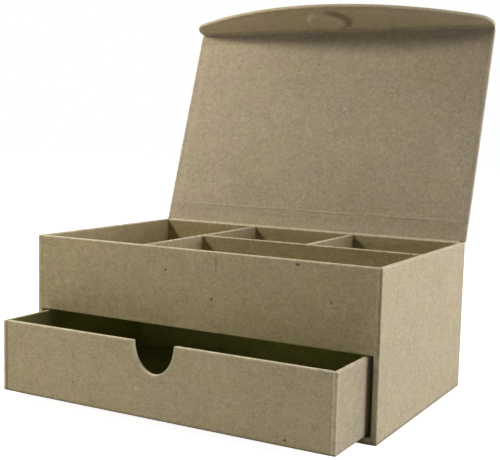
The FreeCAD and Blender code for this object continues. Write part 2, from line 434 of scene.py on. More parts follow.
def stations(low: float, high: float, cell: float, rounds: tuple[float, float],
             focus: Sequence[float] = ()) -> np.ndarray:
    """Return grid positions between two ends, closer together over the roundings.

    Args:
        low: The first position.
        high: The last position.
        cell: The usual spacing.
        rounds: The rounding at the first and the last position.
        focus: Further positions to have close spacing on both sides.

    Returns:
        The positions in rising order.
    """
    turns = np.linspace(0.0, math.pi / 2, 5)
    first = low + rounds[0] * (1.0 - np.cos(turns))
    last = high - rounds[1] * (1.0 - np.cos(turns))
    ease = np.array(EASE_STEPS) * min(1.0, cell)
    count = max(2, int(round((high - low - rounds[0] - rounds[1]) / cell)) + 1)
    between = np.linspace(first[-1], last[-1], count)
    near = [place + sign * step for place in focus for sign in (-1, 1) for step in FOCUS_STEPS]
    inner = np.concatenate([between, first[-1] + ease, last[-1] - ease, near])
    inner = inner[(inner >= first[-1]) & (inner <= last[-1])]
    merged = np.unique(np.round(np.concatenate([first, inner, last]), 4))
    keep = np.concatenate([[True], np.diff(merged) > 0.02])
    keep[-1] = True
    return merged[keep]


def rounding_depth(distance: np.ndarray, radius: float) -> np.ndarray:
    """Return how far a face falls back this far inside a rounded edge."""
    short = np.clip(radius - distance, 0.0, radius)
    return radius - np.sqrt(np.maximum(radius * radius - short * short, 0.0))


@dataclass
class Plate:
    """A flat board or sheet: two faces and a rim, with rounded edges and a slight relief.

    foot and head give the plate's lower and upper outline over its stations, so that it may have
    a notch or a curved side. near and far are the roundings of the face at depth 0 and at `thick`.
    """

    name: str
    place: Placement
    along: np.ndarray
    foot: np.ndarray
    head: np.ndarray
    thick: float
    near: Rounds
    far: Rounds
    cell: float = 3.0
    corner: float = 0.0
    near_relief: Optional[Relief] = None
    far_relief: Optional[Relief] = None
    rise: Optional[Relief] = None
    sink: Optional[Relief] = None
    # The next two give painted shade and a painted highlight, stored for the finish.
    painted_shade: Optional[Relief] = None
    painted_highlight: Optional[Relief] = None
    curved: bool = False
    wear_and_highlight_reach: float = 1.1
    calm_reach: float = 2.5
    band_height: float = 1.2
    wear_and_highlight: Rounds = BOARD_WEAR_AND_TOP_HIGHLIGHT

    def rows(self) -> tuple[np.ndarray, np.ndarray]:
        """Return each row's place as a share of the column's free height, and its fixed offset."""
        low = max(self.near.foot, self.far.foot)
        high = max(self.near.head, self.far.head)
        height = float(np.max(self.head - self.foot))
        places = stations(0.0, height, self.cell, (low, high))
        margin_low = places[places <= low + 1e-6]
        margin_high = places[places >= height - high - 1e-6]
        middle = places[len(margin_low):len(places) - len(margin_high)]
        free = height - low - high
        share = np.concatenate([0 * margin_low, (middle - low) / free, 0 * margin_high + 1.0])
        fixed = np.concatenate([margin_low, 0 * middle + low, margin_high - height + low + high])
        return share, fixed

    def grid(self) -> tuple[np.ndarray, int, int]:
        """Return the flat grid's points as (along, up) rows, with the numbers of columns and rows."""
        share, fixed = self.rows()
        low = max(self.near.foot, self.far.foot)
        high = max(self.near.head, self.far.head)
        free = (self.head - self.foot - low - high)[:, None]
        up = self.foot[:, None] + fixed[None, :] + share[None, :] * free
        along = np.repeat(self.along[:, None], len(share), axis=1)
        return np.stack([along.ravel(), up.ravel()], axis=1), len(self.along), len(share)

    def loop(self, columns: int, rows: int) -> np.ndarray:
        """Return the grid indices round the outline, in order."""
        index = np.arange(columns * rows).reshape(columns, rows)
        return np.concatenate([index[:, 0], index[-1, 1:], index[-2::-1, -1], index[0, -2:0:-1]])

    def edge_depths(self, flat: np.ndarray, rounds: Rounds) -> np.ndarray:
        """Return how far each point falls back on a straight-sided plate."""
        sides = (
            (flat[:, 0] - self.along[0], rounds.start),
            (self.along[-1] - flat[:, 0], rounds.end),
            (flat[:, 1] - self.foot[0], rounds.foot),
            (self.head[0] - flat[:, 1], rounds.head),
        )
        return np.max([rounding_depth(gap, radius) for gap, radius in sides], axis=0)

    def outline_gaps(self, flat: np.ndarray, loop: np.ndarray) -> np.ndarray:
        """Return each point's distance from the outline, measured on a finely divided copy."""
        ring = flat[loop]
        after = np.roll(ring, -1, axis=0)
        steps = np.linspace(0.0, 1.0, 16, endpoint=False)
        fine = (ring[:, None, :] + (after - ring)[:, None, :] * steps[None, :, None]).reshape(-1, 2)
        tree = kdtree.KDTree(len(fine))
        for number, point in enumerate(fine):
            tree.insert((point[0], point[1], 0.0), number)
        tree.balance()
        return np.array([tree.find((point[0], point[1], 0.0))[2] for point in flat])

    def worn_and_lit(self, flat: np.ndarray, gaps: np.ndarray) -> np.ndarray:
        """Return how worn each point is, with the painted highlight of top edges, from 0 to 1, by its
        distance from each edge.

        Args:
            flat: The grid's points as (along, up) rows.
            gaps: Their distances from the outline.

        Returns:
            The wear of each point.
        """
        foot = np.interp(flat[:, 0], self.along, self.foot)
        head = np.interp(flat[:, 0], self.along, self.head)
        sides = (
            (flat[:, 0] - self.along[0], self.wear_and_highlight.start),
            (self.along[-1] - flat[:, 0], self.wear_and_highlight.end),
            (flat[:, 1] - foot, self.wear_and_highlight.foot),
            (head - flat[:, 1], self.wear_and_highlight.head),
        )
        straight = [share * np.clip(1.0 - gap / self.wear_and_highlight_reach, 0.0, 1.0) for gap, share in sides]
        if self.curved:
            inside = smooth(np.min([gap for gap, _ in sides[:2]], axis=0) / 2.0)
            rim = np.where(flat[:, 1] - foot > head - flat[:, 1], self.wear_and_highlight.head, self.wear_and_highlight.foot)
            straight.append(inside * rim * np.clip(1.0 - gaps / self.wear_and_highlight_reach, 0.0, 1.0))
        return np.max(straight, axis=0)

    def rounded_corners(self, flat: np.ndarray) -> np.ndarray:
        """Round the four corners in the plate's own plane."""
        if self.corner <= 0:
            return flat
        centre = np.array([self.along[0] + self.along[-1], self.foot[0] + self.head[0]]) / 2
        half = np.array([self.along[-1] - self.along[0], self.head[0] - self.foot[0]]) / 2 - self.corner
        offset = flat - centre
        beyond = np.abs(offset) - half
        inside = np.all(beyond > 0, axis=1)
        reach = np.max(beyond, axis=1, keepdims=True)
        length = np.linalg.norm(beyond, axis=1, keepdims=True)
        moved = centre + np.sign(offset) * (half + beyond * reach / np.maximum(length, 1e-9))
        return np.where(inside[:, None], moved, flat)

    def depths(self, flat: np.ndarray, loop: np.ndarray) -> tuple[np.ndarray, np.ndarray, np.ndarray]:
        """Return each point's gap from the outline, and how far the near and far faces fall back."""
        if self.curved:
            gaps = self.outline_gaps(flat, loop)
            return gaps, rounding_depth(gaps, self.near.head), rounding_depth(gaps, self.far.head)
        low = np.array([self.along[0], self.foot[0]])
        high = np.array([self.along[-1], self.head[0]])
        gaps = np.min(np.concatenate([flat - low, high - flat], axis=1), axis=1)
        return gaps, self.edge_depths(flat, self.near), self.edge_depths(flat, self.far)

    def faces(self, loop: np.ndarray, columns: int, rows: int,
              bands: int) -> tuple[np.ndarray, np.ndarray]:
        """Return the shell's faces, and which finish each has.

        Args:
            loop: The grid indices round the outline.
            columns: The grid's number of columns.
            rows: The grid's number of rows.
            bands: How many bands of faces the rim has.

        Returns:
            Rows of four vertex numbers, and 0 for a face of the rim, 1 for a near and 2 for a far one.
        """
        total = columns * rows
        index = np.arange(total).reshape(columns, rows)
        quads = np.stack([index[:-1, :-1], index[:-1, 1:], index[1:, 1:], index[1:, :-1]], axis=-1)
        quads = quads.reshape(-1, 4)
        between = [np.arange(len(loop)) + 2 * total + step * len(loop) for step in range(bands - 1)]
        rings = [loop, *between, loop + total]
        rim = [np.stack([here, np.roll(here, -1), np.roll(there, -1), there], axis=1)
               for here, there in zip(rings, rings[1:])]
        share = np.repeat([1, 2, 0], [len(quads), len(quads), bands * len(loop)])
        return np.concatenate([quads, quads[:, ::-1] + total, *rim]), share

    def build(self, material: Finish, near_finish: Optional[Finish] = None,
              far_finish: Optional[Finish] = None) -> Piece:
        """Make the plate's object.

        Args:
            material: The finish of the whole plate.
            near_finish: Another finish for the near face.
            far_finish: Another finish for the far face.

        Returns:
            The object, at the origin, with its place in its mesh.
        """
        square, columns, rows = self.grid()
        loop = self.loop(columns, rows)
        gaps, near, far = self.depths(square, loop)
        flat = self.rounded_corners(square)
        calm = smooth(gaps / self.calm_reach)
        if self.near_relief:
            near = near + self.near_relief(flat) * calm
        if self.far_relief:
            far = far + self.far_relief(flat) * calm
        lift = self.rise(flat) if self.rise else np.zeros(len(flat))
        if self.sink:
            near = near + self.sink(flat)
        near_face = np.column_stack([flat, near - lift])
        far_face = np.column_stack([flat, self.thick - far - lift])
        bands = max(1, int(round((self.thick - 1.0) / self.band_height)))
        shares = [step / bands for step in range(1, bands)]
        rim = [near_face[loop] * (1 - share) + far_face[loop] * share for share in shares]
        world = self.place.world(np.concatenate([near_face, far_face, *rim]))
        face_wear_and_highlight = self.worn_and_lit(square, gaps)
        wear_and_highlight = np.concatenate([face_wear_and_highlight, face_wear_and_highlight, np.tile(face_wear_and_highlight[loop], bands - 1)])
        # Painted highlight added to the wear, then painted shade, where the plate has them.
        if self.painted_highlight:
            wear_and_highlight = np.maximum(wear_and_highlight, self.painted_highlight(world))
        layers = {WEAR_AND_HIGHLIGHT_LAYER: wear_and_highlight}
        if self.painted_shade:
            layers[SHADE_LAYER] = np.clip(self.painted_shade(world), 0.0, 1.0)
        finishes = [material, near_finish or material, far_finish or material]
        faces, share = self.faces(loop, columns, rows, bands)
        return mesh_object(self.name, world * MM, faces, finishes, layers, share)


def shown(name: str, data: bpy.types.ID) -> Piece:
    """Make an object of a mesh, a light or a camera and link it to the scene."""
    made = bpy.data.objects.new(name, data)
    bpy.context.scene.collection.objects.link(made)
    return made


def store(mesh: Mesh, name: str, values: Sequence[float]) -> None:
    """Store one number for each vertex of a mesh."""
    layer = mesh.attributes.new(name, "FLOAT", "POINT")
    layer.data.foreach_set("value", np.array(values, np.float32))


def mesh_object(name: str, points: np.ndarray, faces: Sequence[Sequence[int]],
                finishes: Sequence[Finish], layers: dict[str, np.ndarray],
                share: np.ndarray) -> Piece:
    """Make a smooth object of a closed mesh, with its faces turned outwards.

    Args:
        name: The piece's name.
        points: Its vertices in metres.
        faces: Its faces as rows of vertex numbers.
        finishes: Its finishes.
        layers: Values per vertex, by the name of their attribute.
        share: Which finish each face has.

    Returns:
        The object, linked to the scene.
    """
    mesh = bpy.data.meshes.new(name)
    mesh.from_pydata(points.tolist(), [], [list(map(int, face)) for face in faces])
    for title, values in layers.items():
        store(mesh, title, values)
    used = list(dict.fromkeys(finishes))
    for finish in used:
        mesh.materials.append(finish)
    numbers = np.array([used.index(finish) for finish in finishes])[share]
    mesh.polygons.foreach_set("material_index", numbers.astype(np.int32))
    shell = bmesh.new()
    shell.from_mesh(mesh)
    bmesh.ops.recalc_face_normals(shell, faces=shell.faces)
    for face in shell.faces:
        face.smooth = True
    shell.to_mesh(mesh)
    shell.free()
    return shown(name, mesh)


@dataclass(frozen=True)
class PaperRelief:
    """The slight unevenness of paper glued on board: soft waves and small wrinkled clumps."""

    wave: float = 0.06
    wave_size: float = 26.0
    wrinkle: float = 0.03
    wrinkle_size: float = 4.0
    seed: float = 0.0

    def __call__(self, flat: np.ndarray) -> np.ndarray:
        """Return how far the paper lies below its highest points.

        Args:
            flat: Rows of (along, up) on the plate.

        Returns:
            The depths, none below 0.
        """
        depths = np.empty(len(flat))
        for number, (along, up) in enumerate(flat):
            broad = noise.noise((along / self.wave_size, up / self.wave_size, self.seed))
            fine = (along / self.wrinkle_size, up / self.wrinkle_size, self.seed + 7.0)
            small = noise.fractal(fine, 0.7, 2.1, 3)
            depths[number] = self.wave * (0.5 + 0.5 * broad) + self.wrinkle * (0.6 + 0.6 * small)
        return np.maximum(depths, 0.0)


@dataclass(frozen=True)
class Board:
    """A straight board of the box, wrapped in paper, that stands for the node of its name.

    The axes say which way the plate's own directions run: along it, up it and through it.
    """

    node: str
    axes: str
    near: Rounds
    far: Rounds
    cell: float = 3.0
    corner: float = 0.0
    focus: tuple[float, ...] = ()
    relief: Optional[Relief] = None
    inner_relief: Optional[Relief] = None
    # Painted shade, stored for the finish.
    painted_shade: Optional[Relief] = None
    wear_and_highlight: Rounds = BOARD_WEAR_AND_TOP_HIGHLIGHT

    def plate(self) -> Plate:
        """Return the plate that fills the node's box."""
        low, high = (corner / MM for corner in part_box(self.node))
        spans = [(low["xyz".index(axis)], high["xyz".index(axis)]) for axis in self.axes]
        (start, end), (foot, head), (front, rear) = spans
        ends = (max(self.near.start, self.far.start), max(self.near.end, self.far.end))
        along = stations(start, end, self.cell, ends, self.focus)
        place = Placement(AXIS_WAY[self.axes[2]] * front, *(AXIS_WAY[axis] for axis in self.axes))
        return Plate(
            self.node + "_wrapped", place, along,
            np.full(len(along), foot), np.full(len(along), head), rear - front,
            self.near, self.far, self.cell, self.corner, self.relief, self.inner_relief,
            painted_shade=self.painted_shade, wear_and_highlight=self.wear_and_highlight,
        )


@dataclass(frozen=True)
class Fade:
    """A soft change along one axis: `low` up to `start`, and `high` from `stop` on."""

    axis: str
    start: float
    stop: float
    low: float = 0.0
    high: float = 1.0

    def __call__(self, points: np.ndarray) -> np.ndarray:
        """Return its value at rows of (x, y, z), in millimetres."""
        share = (points[:, "xyz".index(self.axis)] - self.start) / (self.stop - self.start)
        return self.low + (self.high - self.low) * smooth(share)


@dataclass(frozen=True)
class Part:
    """The part of a board between two limits along one axis: 1 inside it and 0 outside."""

    axis: str
    above: float = -math.inf
    below: float = math.inf

    def __call__(self, points: np.ndarray) -> np.ndarray:
        """Return its value at rows of (x, y, z), in millimetres."""
        place = points[:, "xyz".index(self.axis)]
        return (place > self.above) * (place < self.below) * 1.0


@dataclass(frozen=True)
class PaintedShade:
    """Painted shade of one strength, in the places where all its limits hold."""

    strength: float
    limits: tuple[Relief, ...]

    def __call__(self, points: np.ndarray) -> np.ndarray:
        """Return how much painted shade rows of (x, y, z) get."""
        return self.strength * np.prod([limit(points) for limit in self.limits], axis=0)


def darkest(*stains: Relief) -> Relief:
    """Return painted shade that is the strongest of several at each point."""
    return lambda points: np.max([stain(points) for stain in stains], axis=0)


# Painted shade: a dark line along the foot, where the box and the drawer meet the floor.
FOOT_SHADE = PaintedShade(0.95, (Fade("z", 2.4, 0.4),))
DRAWER_FOOT_SHADE = PaintedShade(0.90, (Fade("z", 6.3, 4.7),))
# Painted shade inside the drawer's left board, darker towards the front.
DRAWER_LEFT_SHADE = PaintedShade(1.15, (Part("x", above=-111.0), Fade("y", -10.0, -85.0)))
# Painted shade on the drawer's outer right side, growing towards the case.
DRAWER_RIGHT_SHADE = PaintedShade(
    1.0, (Part("x", above=113.0), Fade("y", -114.0, -112.5), Fade("y", -100.0, -75.0, 0.30, 0.42)),
)
# Painted shade on the short divider, below its top edge.
DIVIDER_SHADE = PaintedShade(0.28, (Part("x", above=40.0), Part("z", below=97.0)))
# Painted shade on the back wall's inner face, behind the left and middle trays.
BACK_WALL_SHADE = PaintedShade(0.17, (Part("y", below=72.0), Part("z", 52.0, 97.0), Fade("x", 45.0, 25.0)))


def settle(piece: Piece, slot: str, body: str, *nodes: str) -> Piece:
    """Hide the nodes a piece stands for, attach it to the body it rides on, and return it."""
    if nodes:
        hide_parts(*nodes)
    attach(piece, body)
    LOG.info("%s: %d faces", piece.name, len(piece.data.polygons))
    return piece


def dress(node: str, material: Finish) -> None:
    """Give a node of the frame a finish in place of its own."""
    mesh = frame["nodes"][node].data
    mesh.materials.clear()
    mesh.materials.append(material)


@dataclass
class Papers:
    """The finishes of the box, made once and shared by its pieces."""

    outer: Finish = field(init=False)
    lid: Finish = field(init=False)
    flap: Finish = field(init=False)
    tray: Finish = field(init=False)
    drawer: Finish = field(init=False)
    inside: Finish = field(init=False)
    steel: Finish = field(init=False)
    straw: Finish = field(init=False)
    bark: Finish = field(init=False)

    def __post_init__(self) -> None:
        """Make the materials."""
        self.outer = KraftPaper("kraft_outer", Tone.OUTER).build()
        self.lid = KraftPaper("kraft_lid", Tone.LID, clump=0.28, pale_fleck=0.85, tooth=0.08).build()
        self.flap = KraftPaper("kraft_flap", Tone.FLAP, grain=0.28).build()
        # The tray paper is darkened as painted shade.
        self.tray = KraftPaper("kraft_tray_shaded", Tone.TRAY_SHADED, blush=0.3, streak=0.16).build()
        self.drawer = KraftPaper("kraft_drawer", Tone.DRAWER).build()
        # The inside paper's olive tint is painted shade.
        self.inside = KraftPaper("kraft_inside_olive_shade", Tone.INSIDE, streak=0.12).build()
        self.steel = PlatedSteel().build()
        self.straw = Fibre("fibre_straw", (0.72, 0.66, 0.52)).build()
        self.bark = Fibre("fibre_bark", (0.19, 0.145, 0.09)).build()


@dataclass
class Case:
    """The case: walls, base, front panel, and the tray with its dividers."""

    papers: Papers
    seam_round: float = 0.3
    divider_round: float = 0.75
    crease_x: float = 16.0
    crease_foot: float = 85.0
    crease_fade: float = 2.0
    crease_depth: float = 0.22
    crease_width: float = 0.30
    # Painted shade in the front panel's upright crease.
    crease_shade: float = 0.55
    wrinkle_top: float = 76.0
    wrinkle_fade: float = 14.0
    wrinkle_depth: float = 0.10

    def beside_crease(self, across: np.ndarray) -> np.ndarray:
        """Return how near places across the front panel are to its upright crease, 1 on it."""
        return np.exp(-((across - self.crease_x) / self.crease_width) ** 2)

    def crease(self, flat: np.ndarray) -> np.ndarray:
        """Return the front paper's relief: flat wrinkles low down and one short upright crease."""
        depths = PaperRelief(wave=0.08, wrinkle=0.04, seed=2.0)(flat)
        above = smooth((flat[:, 1] - self.crease_foot) / self.crease_fade)
        low = smooth((self.wrinkle_top - flat[:, 1]) / self.wrinkle_fade)
        folds = [noise.noise((along / 21.0, up / 3.6, 4.0)) for along, up in flat]
        folds = smooth(np.array(folds) * 1.6 + 0.35)
        upright = self.crease_depth * self.beside_crease(flat[:, 0]) * above
        return depths + upright + self.wrinkle_depth * folds * low

    def front_shade(self, points: np.ndarray) -> np.ndarray:
        """Return the front panel's painted shade: a dark line in its upright crease, and darker towards the
        right.
        """
        above = Fade("z", self.crease_foot, self.crease_foot + self.crease_fade)(points)
        line = self.crease_shade * self.beside_crease(points[:, 0]) * above
        # Painted shade, darker towards the right of the front panel.
        shade_to_right = Fade("x", 30.0, 110.0, 0.05, 0.20)(points)
        front = Part("y", below=-73.0)(points) * Part("z", below=97.4)(points)
        return np.maximum(line, shade_to_right) * front

    def corner_shade(self, points: np.ndarray) -> np.ndarray:
        """Return the painted shade on the right wall's front edge, beside the panel and beside the bay."""
        over_bay = Fade("z", 48.0, 50.0)(points)
        beside_panel = Fade("x", 118.2, 119.2, 0.30, 0.75)(points) * over_bay
        beside_bay = Fade("x", 118.4, 117.2, high=0.45)(points) * (1.0 - over_bay)
        edge = Part("y", below=-74.0)(points) * Fade("x", 119.75, 119.30)(points)
        return (beside_panel + beside_bay) * edge

    def boards(self) -> list[tuple[Board, str]]:
        """Return the case's boards with their slots."""
        wall, seam, hidden = STOCK.edge_round, self.seam_round, STOCK.hidden_round
        outer = Rounds.even(wall)
        flush = Rounds.even(hidden)
        topped = Rounds.even(hidden, head=wall)
        divider = Rounds.even(hidden, head=self.divider_round)
        base = Rounds.even(hidden, foot=0.6)
        soft = PaperRelief(seed=1.0)
        calm = PaperRelief(wave=0.04, wrinkle=0.03, seed=5.0)
        case, tray = "case_kraft", "tray_kraft"
        return [
            (Board("left_wall", "yzx", outer, Rounds(seam, seam, hidden, wall), corner=wall, relief=soft,
                   inner_relief=calm, painted_shade=FOOT_SHADE, wear_and_highlight=Rounds(0.0, 0.1, 0.1, 1.0)), case),
            (Board("right_wall", "yzx", Rounds(hidden, seam, hidden, wall), outer, corner=wall,
                   relief=calm, inner_relief=soft, painted_shade=darkest(self.corner_shade, FOOT_SHADE)), case),
            (Board("back_wall", "xzy", topped, Rounds(seam, seam, seam, wall), relief=calm,
                   inner_relief=soft, painted_shade=darkest(FOOT_SHADE, BACK_WALL_SHADE)), case),
            (Board("front_panel", "xzy", Rounds(hidden, hidden, wall, wall), topped, cell=1.6,
                   focus=(self.crease_x,), relief=self.crease, inner_relief=calm,
                   painted_shade=self.front_shade, wear_and_highlight=Rounds(0.0, 0.0, 0.8, 1.0)), case),
            (Board("base_board", "xyz", base, base, cell=6.0, painted_shade=FOOT_SHADE), case),
            (Board("tray_floor", "xyz", flush, flush, cell=5.0, inner_relief=calm, wear_and_highlight=flush), tray),
            (Board("main_divider", "yzx", divider, divider, relief=calm, inner_relief=calm), tray),
            (Board("short_divider", "yzx", divider, divider, relief=calm, inner_relief=calm,
                   painted_shade=DIVIDER_SHADE), tray),
            (Board("long_divider", "xzy", divider, divider, relief=calm, inner_relief=calm), tray),
        ]

    def build(self) -> list[Piece]:
        """Build, place and return the case's boards, and dress its hidden discs."""
        papers = self.papers
        tray_side = {
            "left_wall": (papers.outer, papers.tray),
            "right_wall": (papers.tray, papers.outer),
            "back_wall": (papers.tray, papers.outer),
            "front_panel": (papers.outer, papers.tray),
        }
        pieces = []
        for board, slot in self.boards():
            body = papers.outer if slot == "case_kraft" else papers.tray
            near_finish, far_finish = tray_side.get(board.node, (None, None))
            piece = board.plate().build(body, near_finish, far_finish)
            pieces.append(settle(piece, slot, "box", board.node))
        dress("keeper_plate", papers.steel)
        dress("keeper_plug", papers.tray)
        return pieces


@dataclass
class Drawer:
    """The drawer: a notched front between two side boards, with a back and a floor."""

    papers: Papers
    edge_round: float = 0.7
    seam_round: float = 0.3
    notch_half_width: float = 14.0
    notch_depth: float = 18.3
    notch_x: float = -0.8
    lip_round: float = 0.5
    rim_round: float = 0.5

    def head_line(self, along: np.ndarray, top: float) -> np.ndarray:
        """Return the height of the front's upper outline, straight but for the half-oval notch.

        Args:
            along: Stations along the front.
            top: The height of its straight top edge.

        Returns:
            The outline's height at each station.
        """
        away = np.abs(along - self.notch_x) / self.notch_half_width
        oval = self.notch_depth * np.sqrt(np.clip(1.0 - away ** 2, 0.0, 1.0))
        lip = (away - 1.0) * self.notch_half_width
        fall = self.lip_round - np.sqrt(np.clip(self.lip_round ** 2 - (self.lip_round - lip) ** 2, 0, None))
        fall = np.where((lip >= 0) & (lip < self.lip_round), fall, 0.0)
        return top - np.maximum(np.maximum(oval, fall), np.where(away < 1.0, self.lip_round, 0.0))

    def front(self) -> Plate:
        """Return the drawer's front plate."""
        low, high = (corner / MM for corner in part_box("drawer_front"))
        lips = (self.notch_x - self.notch_half_width, self.notch_x + self.notch_half_width)
        along = stations(low.x, high.x, 2.0, (self.seam_round, self.seam_round), lips)
        turns = np.linspace(0.0, math.pi, 41)
        oval = self.notch_x - (self.notch_half_width - 0.01) * np.cos(turns)
        along = np.unique(np.round(np.concatenate([along, oval]), 4))
        along = along[np.concatenate([[True], np.diff(along) > 0.015])]
        near = Rounds(0.12, STOCK.hidden_round, self.edge_round, self.rim_round)
        far = Rounds.even(STOCK.hidden_round, head=self.rim_round)
        way = Placement(Vector((0, low.y, 0)), AXIS_WAY["x"], AXIS_WAY["z"], AXIS_WAY["y"])
        return Plate(
            "drawer_front_wrapped", way, along, np.full(len(along), low.z),
            self.head_line(along, high.z), high.y - low.y, near, far, 2.0,
            near_relief=PaperRelief(wave=0.08, wrinkle=0.04, seed=11.0), painted_shade=DRAWER_FOOT_SHADE,
            curved=True, wear_and_highlight=Rounds(0.1, 0.25, 0.0, 1.0), wear_and_highlight_reach=1.0,
        )

    def boards(self) -> list[Board]:
        """Return the drawer's straight boards."""
        edge, hidden = self.edge_round, STOCK.hidden_round
        outer = Rounds.even(edge)
        inner = Rounds.even(hidden, head=edge)
        flush = Rounds.even(hidden)
        soft = PaperRelief(seed=13.0)
        return [
            Board("drawer_left", "yzx", outer, inner, corner=edge, relief=soft,
                  painted_shade=darkest(DRAWER_FOOT_SHADE, DRAWER_LEFT_SHADE)),
            Board("drawer_right", "yzx", inner, outer, corner=edge, inner_relief=soft,
                  painted_shade=darkest(DRAWER_FOOT_SHADE, DRAWER_RIGHT_SHADE), wear_and_highlight=Rounds(0.5, 0.25, 0.0, 1.0)),
            Board("drawer_back", "xzy", inner, Rounds(hidden, hidden, edge, edge)),
            Board("drawer_bottom", "xyz", flush, flush, cell=6.0, wear_and_highlight=flush),
        ]

    def build(self) -> list[Piece]:
        """Build, place and return the drawer's boards, their inner faces in the olive inside paper, whose
        tint is painted shade.
        """
        papers = self.papers
        inside = {
            "drawer_left": (None, papers.inside),
            "drawer_right": (papers.inside, None),
            "drawer_back": (papers.inside, None),
            "drawer_bottom": (None, papers.inside),
        }
        front = self.front().build(papers.drawer, None, papers.inside)
        pieces = [settle(front, "drawer_kraft", "drawer", "drawer_front")]
        for board in self.boards():
            piece = board.plate().build(papers.drawer, *inside[board.node])
            pieces.append(settle(piece, "drawer_kraft", "drawer", board.node))
        return pieces


@dataclass
class LidFrame:
    """Where the closed lid and the flat flap lie, and how they turn to their rest places."""

    hinge: Vector = field(init=False)
    fold: Vector = field(init=False)
    opening: float = field(init=False)
    folding: float = field(init=False)

    def __post_init__(self) -> None:
        """Read the two hinges from the frame."""
        joints = {joint["name"]: joint for joint in frame["joints"]}
        lid, flap = joints["lid_hinge"], joints["flap_hinge"]
        self.hinge = Vector(lid["pos_m"]) / MM
        self.opening = math.radians(-lid["range_deg"][0])
        self.folding = math.radians(-flap["range_deg"][0])
        self.fold = self.closed(Vector(flap["pos_m"]) / MM)

    def closed(self, point: Vector) -> Vector:
        """Return where a point at rest lies when the lid is closed."""
        return self.hinge + Matrix.Rotation(self.opening, 3, "X") @ (point - self.hinge)

    def opened(self, point: Vector) -> Vector:
        """Return where a point of the closed lid lies at rest."""
        return self.hinge + Matrix.Rotation(-self.opening, 3, "X") @ (point - self.hinge)

    def folded(self, point: Vector) -> Vector:
        """Return where a point of the flat flap lies at rest."""
        turned = self.fold + Matrix.Rotation(self.folding, 3, "X") @ (point - self.fold)
        return self.opened(turned)

    def placement(self, depth: float, on_flap: bool = False) -> Placement:
        """Return the placement of a plate of the lid or flap: along X, up Y and through Z.

        Args:
            depth: The height of its near face in the closed, flat lid.
            on_flap: Whether it turns with the flap.

        Returns:
            The placement at rest.
        """
        turn = self.folded if on_flap else self.opened
        foot = turn(Vector((0, 0, depth)))
        ways = [turn(Vector((0, 0, depth)) + way) - foot for way in AXIS_WAY.values()]
        return Placement(foot, *ways)


@dataclass(frozen=True)
class Ridge:
    """A raised line in a sheet along its edge: its height, place, waver and width."""

    height: float
    place: float
    waver: float
    width: float

    def over(self, from_edge: np.ndarray, waver: np.ndarray) -> np.ndarray:
        """Return how high it stands at places this far from the sheet's edge."""
        return self.height * np.exp(-((from_edge - self.place - self.waver * waver) / self.width) ** 2)


